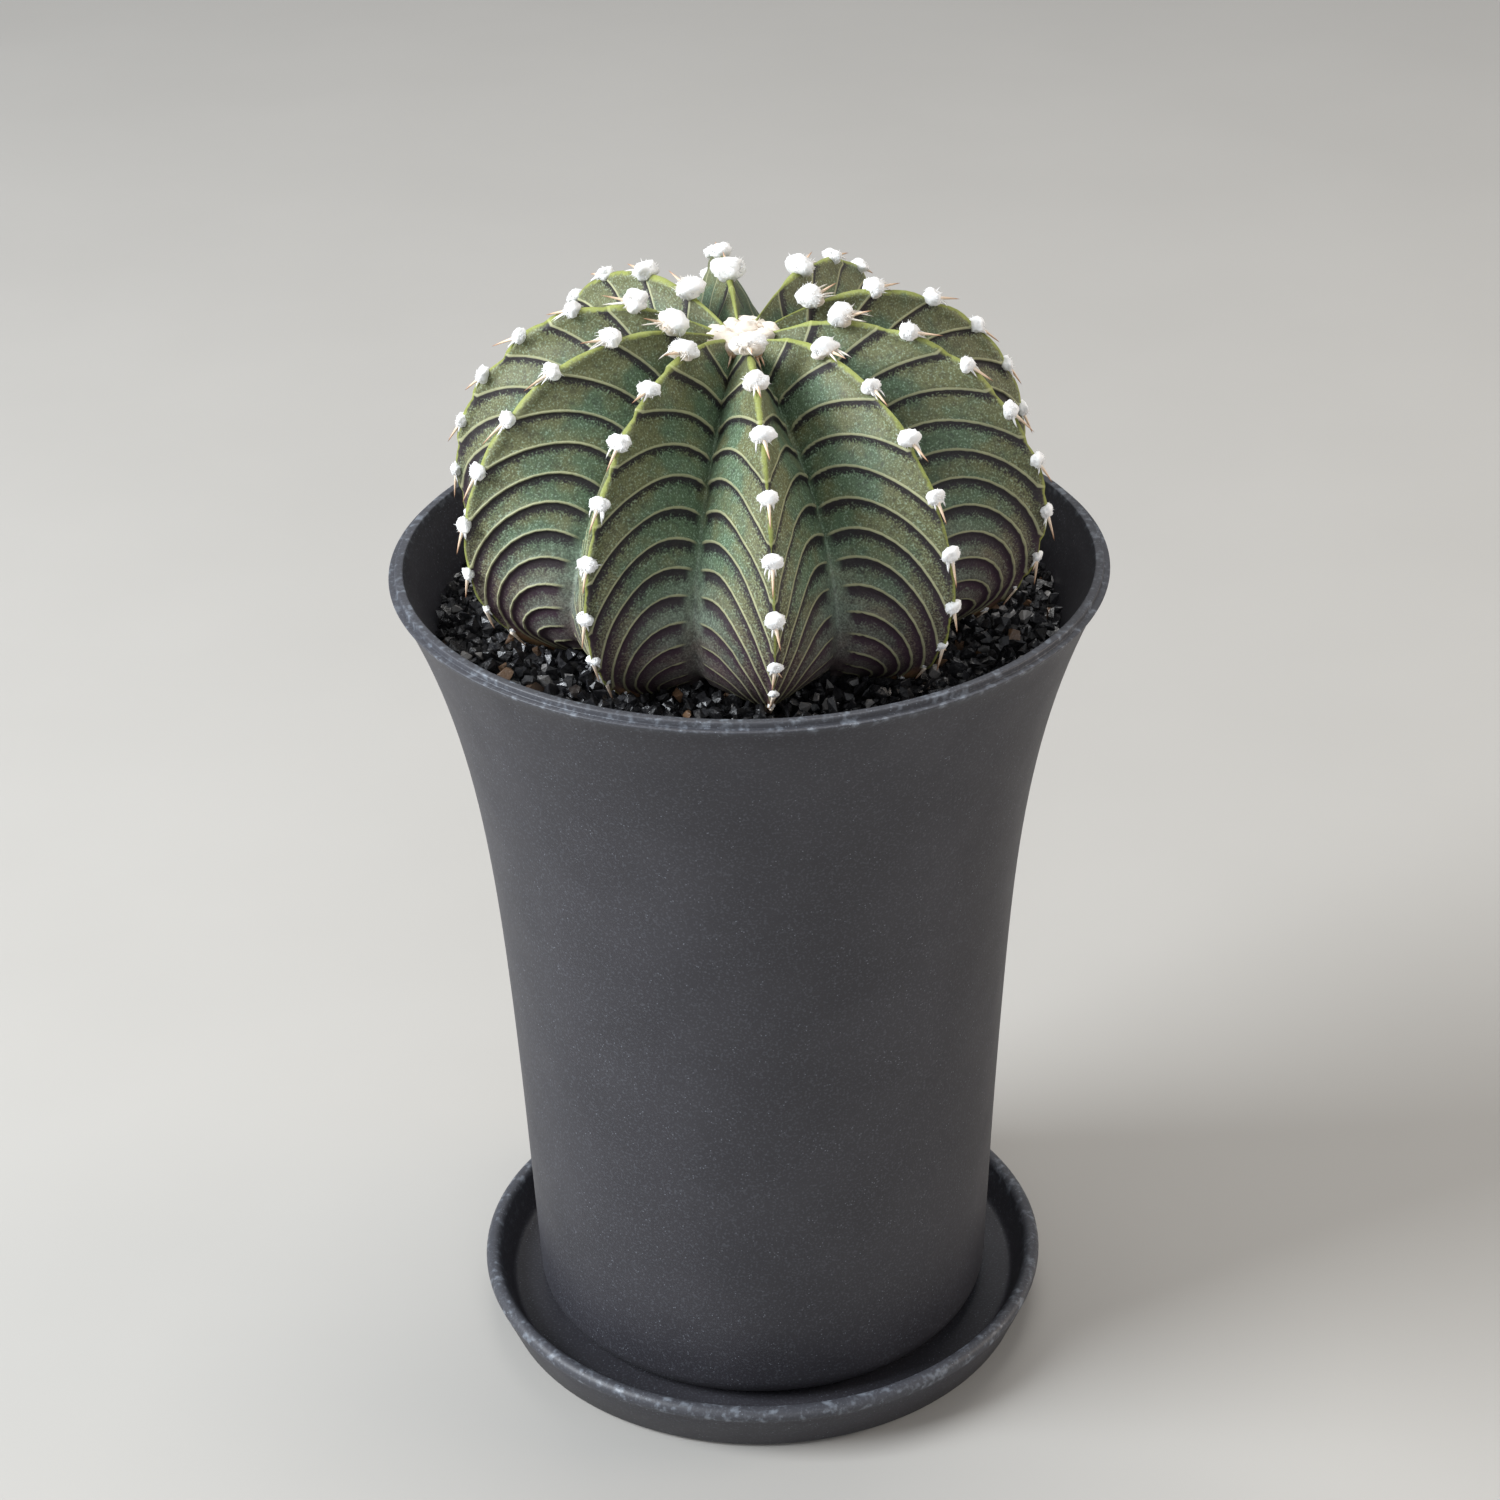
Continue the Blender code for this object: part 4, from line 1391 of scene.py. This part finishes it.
@dataclass
class Crown:
    """The felted heap over the growing point, made of the youngest areoles' wool."""

    plant: Plant
    tufts: int = 13
    spread: float = 4.3 * MM
    rise: float = 29.6 * MM
    radius: float = 1.8 * MM
    fibres: int = 90
    spine_length: float = 2.6 * MM
    spine_radius: float = 0.18 * MM
    # The angle between one areole and the next that grows after it.
    growth_turn_deg: float = 137.5

    def build(self, wool: bpy.types.Material, horn: bpy.types.Material) -> None:
        """Heap the tufts in a spiral, with short young spines between them."""
        draw = np.random.default_rng(77)
        ball = ball_shape(3)
        lumps, spines = [], []
        up = Vector((0.0, 0.0, 1.0))
        for i in range(self.tufts):
            turn = i * math.radians(self.growth_turn_deg)
            reach = self.spread * math.sqrt((i + 0.3) / self.tufts)
            out = Vector((math.cos(turn), math.sin(turn), 0.0))
            centre = out * reach + up * (self.rise - 0.12 * reach + draw.uniform(-0.4, 0.4) * MM)
            leaning = (up + out * 0.35 * reach / self.spread).normalized()
            down = (out - leaning * out.dot(leaning)).normalized()
            radius = self.radius * draw.uniform(0.8, 1.15)
            tuft = Tuft(centre, down, leaning, radius, self.fibres, 9000 + i, 1.0)
            lumps += [tuft.lump(ball), tuft.hairs()]
            if reach > 0.7 * self.spread and i % 2:
                heading = (out * 0.8 + up * draw.uniform(-0.1, 0.4)).normalized()
                foot = centre + out * radius * 0.3
                spine = Spine(foot, heading, up * -0.1, self.spine_length, self.spine_radius)
                spines.append(spine.shape())
        woolly = Shape.joined(lumps)
        woolly.points = self.plant.set_in_pot(woolly.points)
        woolly.piece("crown_felt", wool, "crown_felt", stands_for=["crown_wool"])
        horny = Shape.joined(spines)
        horny.points = self.plant.set_in_pot(horny.points)
        horny.piece("crown_spines", horn, "crown_felt")


# ---- grit ----


@dataclass
class Grit:
    """Lava grit: a rough bed with angular grains lying on it, up against plant and pot."""

    pot: Pot
    plant: Plant
    wall_gap: float = 0.35 * MM
    grain_small: float = 1.5 * MM
    grain_large: float = 4.2 * MM
    kinds: int = 40
    layers: tuple = ((700, -1.6 * MM), (1200, -0.6 * MM), (480, 0.3 * MM))
    bed_drop: float = 1.4 * MM
    bed_rings: int = 26
    bed_columns: int = 160
    bed_lump_size: float = 2.4 * MM
    bed_lump: float = 0.35 * MM
    # The bed tucks in under the body by this share of the body's radius.
    bed_tuck: float = 0.82
    wall_depth: float = 8.0 * MM
    slope: tuple = (29.0 * MM, 42.0 * MM)
    scatter: tuple = (18.0 * MM, 42.6 * MM)
    closeness: float = 0.6
    tries_each: int = 40

    def __post_init__(self) -> None:
        """Read the grit's place from the frame."""
        low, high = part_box("grit_layer")
        self.low = low.z
        self.plant_level = high.z
        self.wall_level = self.pot.rim - self.wall_depth

    def level(self, radius: np.ndarray) -> np.ndarray:
        """Height of the grit's surface at a distance from the axis."""
        return self.plant_level - (self.plant_level - self.wall_level) * ease(radius, *self.slope)

    def inner_wall(self, height: float) -> float:
        """Inner radius of the pot at a height."""
        return self.pot.outer_radius(height) - self.pot.wall

    def build_bed(self, material: bpy.types.Material) -> bpy.types.Object:
        """The bed: rough on top, flat below, clear of the plant."""
        top_radius = self.inner_wall(self.wall_level - self.bed_drop) - self.wall_gap
        low_radius = self.inner_wall(self.low) - self.wall_gap
        angles = np.linspace(0, 2 * math.pi, self.bed_columns, endpoint=False)
        rings = []
        for ring in range(self.bed_rings + 1):
            share = ring / self.bed_rings
            level = np.full(self.bed_columns, self.plant_level - self.bed_drop)
            inner = self.plant.radius_below(angles, level - self.plant.rim) * self.bed_tuck
            radius = inner + (top_radius - inner) * share
            height = self.level(radius) - self.bed_drop
            points = np.stack([radius * np.cos(angles), radius * np.sin(angles), height], 1)
            points[:, 2] += ripple(points, self.bed_lump_size, 31) * self.bed_lump
            rings.append(points)
        hole = np.linalg.norm(rings[0][:, :2], axis=1)
        for radius in (low_radius, hole):
            level = np.full_like(angles, self.low)
            rings.append(np.stack([radius * np.cos(angles), radius * np.sin(angles), level], 1))
        count = self.bed_columns
        faces = []
        for ring in range(len(rings)):
            faces += ring_faces(ring * count, (ring + 1) % len(rings) * count, count)
        points = np.concatenate(rings)
        chance = np.random.default_rng(8).uniform(0.1, 0.85, len(points))
        shape = Shape(points, faces, {"chance": chance})
        return shape.piece("grit_bed", material, "lava_grit", stands_for=["grit_layer"])

    def grain_kinds(self) -> list[Shape]:
        """Angular grains of unit size: hulls of a few scattered points."""
        draw = np.random.default_rng(51)
        kinds = []
        for _ in range(self.kinds):
            mesh = bmesh.new()
            stretch = draw.uniform(0.55, 1.0, 3)
            for _ in range(int(draw.integers(9, 15))):
                point = draw.normal(size=3)
                point *= draw.uniform(0.75, 1.0) / np.linalg.norm(point)
                mesh.verts.new(point * stretch)
            bmesh.ops.convex_hull(mesh, input=mesh.verts)
            loose = [vertex for vertex in mesh.verts if not vertex.link_faces]
            bmesh.ops.delete(mesh, geom=loose, context="VERTS")
            bmesh.ops.recalc_face_normals(mesh, faces=mesh.faces)
            mesh.verts.index_update()
            points = np.array([vertex.co for vertex in mesh.verts])
            faces = [tuple(vertex.index for vertex in face.verts) for face in mesh.faces]
            mesh.free()
            kinds.append(Shape(points, faces))
        return kinds

    def places(self) -> list[tuple[np.ndarray, float]]:
        """Centre and half size of every grain, clear of the plant and of the pot's wall."""
        draw = np.random.default_rng(52)
        found: list[tuple[np.ndarray, float]] = []
        for count, lift in self.layers:
            kept: list[np.ndarray] = []
            sizes: list[float] = []
            tries = 0
            while len(kept) < count and tries < self.tries_each * count:
                tries += 1
                range_of_halves = (self.grain_large - self.grain_small) / 2
                half = self.grain_small / 2 + range_of_halves * draw.beta(2.0, 2.6)
                radius = math.sqrt(draw.uniform(self.scatter[0] ** 2, self.scatter[1] ** 2))
                angle = draw.uniform(0, 2 * math.pi)
                height = float(self.level(np.array(radius))) + lift + draw.uniform(-0.25, 0.25) * MM
                if radius + 0.62 * half > self.inner_wall(height):
                    continue
                place = np.array((radius * math.cos(angle), radius * math.sin(angle), height))
                own = self.plant.out_of_pot(place)
                skin = self.plant.radius_below(
                    np.array([math.atan2(own[1], own[0])]), np.array([own[2] + 0.3 * half])
                )[0]
                if math.hypot(own[0], own[1]) < skin + 0.35 * half:
                    continue
                if kept:
                    gaps = np.linalg.norm(np.array(kept) - place, axis=1)
                    if (gaps < self.closeness * (half + np.array(sizes))).any():
                        continue
                kept.append(place)
                sizes.append(half)
            found += list(zip(kept, sizes))
        return found

    def build_grains(self, material: bpy.types.Material) -> bpy.types.Object:
        """Lay the grains at random turns."""
        draw = np.random.default_rng(53)
        kinds = self.grain_kinds()
        grains = []
        for place, half in self.places():
            kind = kinds[int(draw.integers(self.kinds))]
            turn, _ = np.linalg.qr(draw.normal(size=(3, 3)))
            if np.linalg.det(turn) < 0:
                turn[:, 0] *= -1
            points = kind.points @ turn.T * half + place
            grains.append(Shape(points, kind.faces, {"chance": np.full(len(points), draw.random())}))
        shape = Shape.joined(grains)
        return shape.piece("grit_grains", material, "lava_grit", smooth=False)

    def build(self, material: bpy.types.Material) -> None:
        """Build the bed and the grains."""
        self.build_bed(material)
        self.build_grains(material)


# ---- studio ----


@dataclass
class Studio:
    """Pale floor, soft light from the upper left and the camera."""

    floor_radius: float = 4.0
    camera_place: tuple = (0.0, -0.38764, 0.30337)
    pitch_deg: float = 29.374
    yaw_deg: float = -0.053
    roll_deg: float = -1.153
    lens: float = 82.957

    def build_floor(self, material: bpy.types.Material) -> None:
        """A wide round floor just under the saucer."""
        mesh = bpy.data.meshes.new("floor")
        shape = bmesh.new()
        bmesh.ops.create_circle(shape, cap_ends=True, segments=96, radius=self.floor_radius)
        shape.to_mesh(mesh)
        shape.free()
        mesh.materials.append(material)
        floor = bpy.data.objects.new("floor", mesh)
        bpy.context.scene.collection.objects.link(floor)

    @staticmethod
    def softbox(name: str, place: tuple, size: float, power: float, colour: Colour) -> None:
        """Hang a square soft light that faces the plant.

        Args:
            name: The light's name.
            place: Where it hangs.
            size: Its side.
            power: Its power, in watts.
            colour: Its colour.
        """
        light = bpy.data.lights.new(name, "AREA")
        light.shape = "SQUARE"
        light.size = size
        light.energy = power
        light.color = colour
        lamp = bpy.data.objects.new(name, light)
        lamp.location = place
        aim = Vector((0.0, 0.0, 0.1)) - Vector(place)
        lamp.rotation_mode = "QUATERNION"
        lamp.rotation_quaternion = aim.to_track_quat("-Z", "Y")
        bpy.context.scene.collection.objects.link(lamp)

    def build_lights(self) -> None:
        """A cool window from the upper left, a weak warm return from the right, and an even sky."""
        self.softbox("window_light", (-0.76, -0.2, 0.6), 0.5, 17.0, (0.90, 0.95, 1.0))
        self.softbox("top_light", (0.05, 0.3, 0.95), 0.5, 4.5, (1.0, 0.98, 0.95))
        self.softbox("warm_return", (0.8, 0.05, 0.3), 0.4, 2.6, (1.0, 0.88, 0.76))
        self.softbox("front_fill", (0.12, -0.9, 0.36), 0.6, 2.4, (0.97, 0.98, 1.0))
        world = bpy.data.worlds.new("soft_sky")
        world.use_nodes = True
        back = world.node_tree.nodes["Background"]
        back.inputs["Color"].default_value = (0.80, 0.84, 0.90, 1.0)
        back.inputs["Strength"].default_value = 0.38
        bpy.context.scene.world = world

    def build_camera(self) -> None:
        """A long-lens camera that looks down on the plant."""
        pitch, yaw, roll = (math.radians(a) for a in (self.pitch_deg, self.yaw_deg, self.roll_deg))
        ahead = Vector((math.sin(yaw) * math.cos(pitch), math.cos(yaw) * math.cos(pitch), -math.sin(pitch)))
        level = ahead.cross(Vector((0.0, 0.0, 1.0))).normalized()
        upright = level.cross(ahead)
        right = level * math.cos(roll) + upright * math.sin(roll)
        up = upright * math.cos(roll) - level * math.sin(roll)
        camera = bpy.data.cameras.new("camera")
        camera.lens = self.lens
        camera.sensor_width = 36.0
        camera.clip_start = 0.01
        holder = bpy.data.objects.new("camera", camera)
        turn = Matrix((right, up, -ahead)).transposed().to_4x4()
        holder.matrix_world = Matrix.Translation(self.camera_place) @ turn
        bpy.context.scene.collection.objects.link(holder)
        bpy.context.scene.camera = holder

    def build(self, floor: bpy.types.Material) -> None:
        """Set up floor, lights and camera, and show colours as they are."""
        bpy.context.scene.view_settings.view_transform = "Standard"
        self.build_floor(floor)
        self.build_lights()
        self.build_camera()


def dress(node: str, material: bpy.types.Material) -> None:
    """Give a CAD node that stays in view its finish."""
    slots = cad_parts[node].material_slots
    if not slots:
        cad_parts[node].data.materials.append(material)
    for slot in slots:
        slot.material = material
    LOG.info("%s: dressed", node)


def main() -> None:
    """Build the sub-assemblies from the saucer up, then the studio."""
    logging.basicConfig(level=logging.INFO, format="%(name)s %(message)s")
    pot = Pot()
    plant = Plant(pot.rim)
    Saucer().build(MouldedPlastic("saucer_plastic").material())
    pot.build(MouldedPlastic("charcoal_plastic").material())
    dress("potting_soil", PottingMix("potting_soil").material())
    dress("taproot", RootBark("root_bark").material())
    grit = Grit(pot, plant)
    grit.build(LavaStone("lava_grit").material())
    Body(plant).build(BandedSkin("cactus_skin").material())
    horn = SpineHorn("spine_horn").material()
    Areoles(plant, grit.plant_level).build(Wool("areole_wool", WoolTone.WHITE).material(), horn)
    Crown(plant).build(Wool("crown_felt", WoolTone.CREAM).material(), horn)
    Studio().build(PaleSweep("pale_floor").material())


if __name__ == "__main__":
    main()
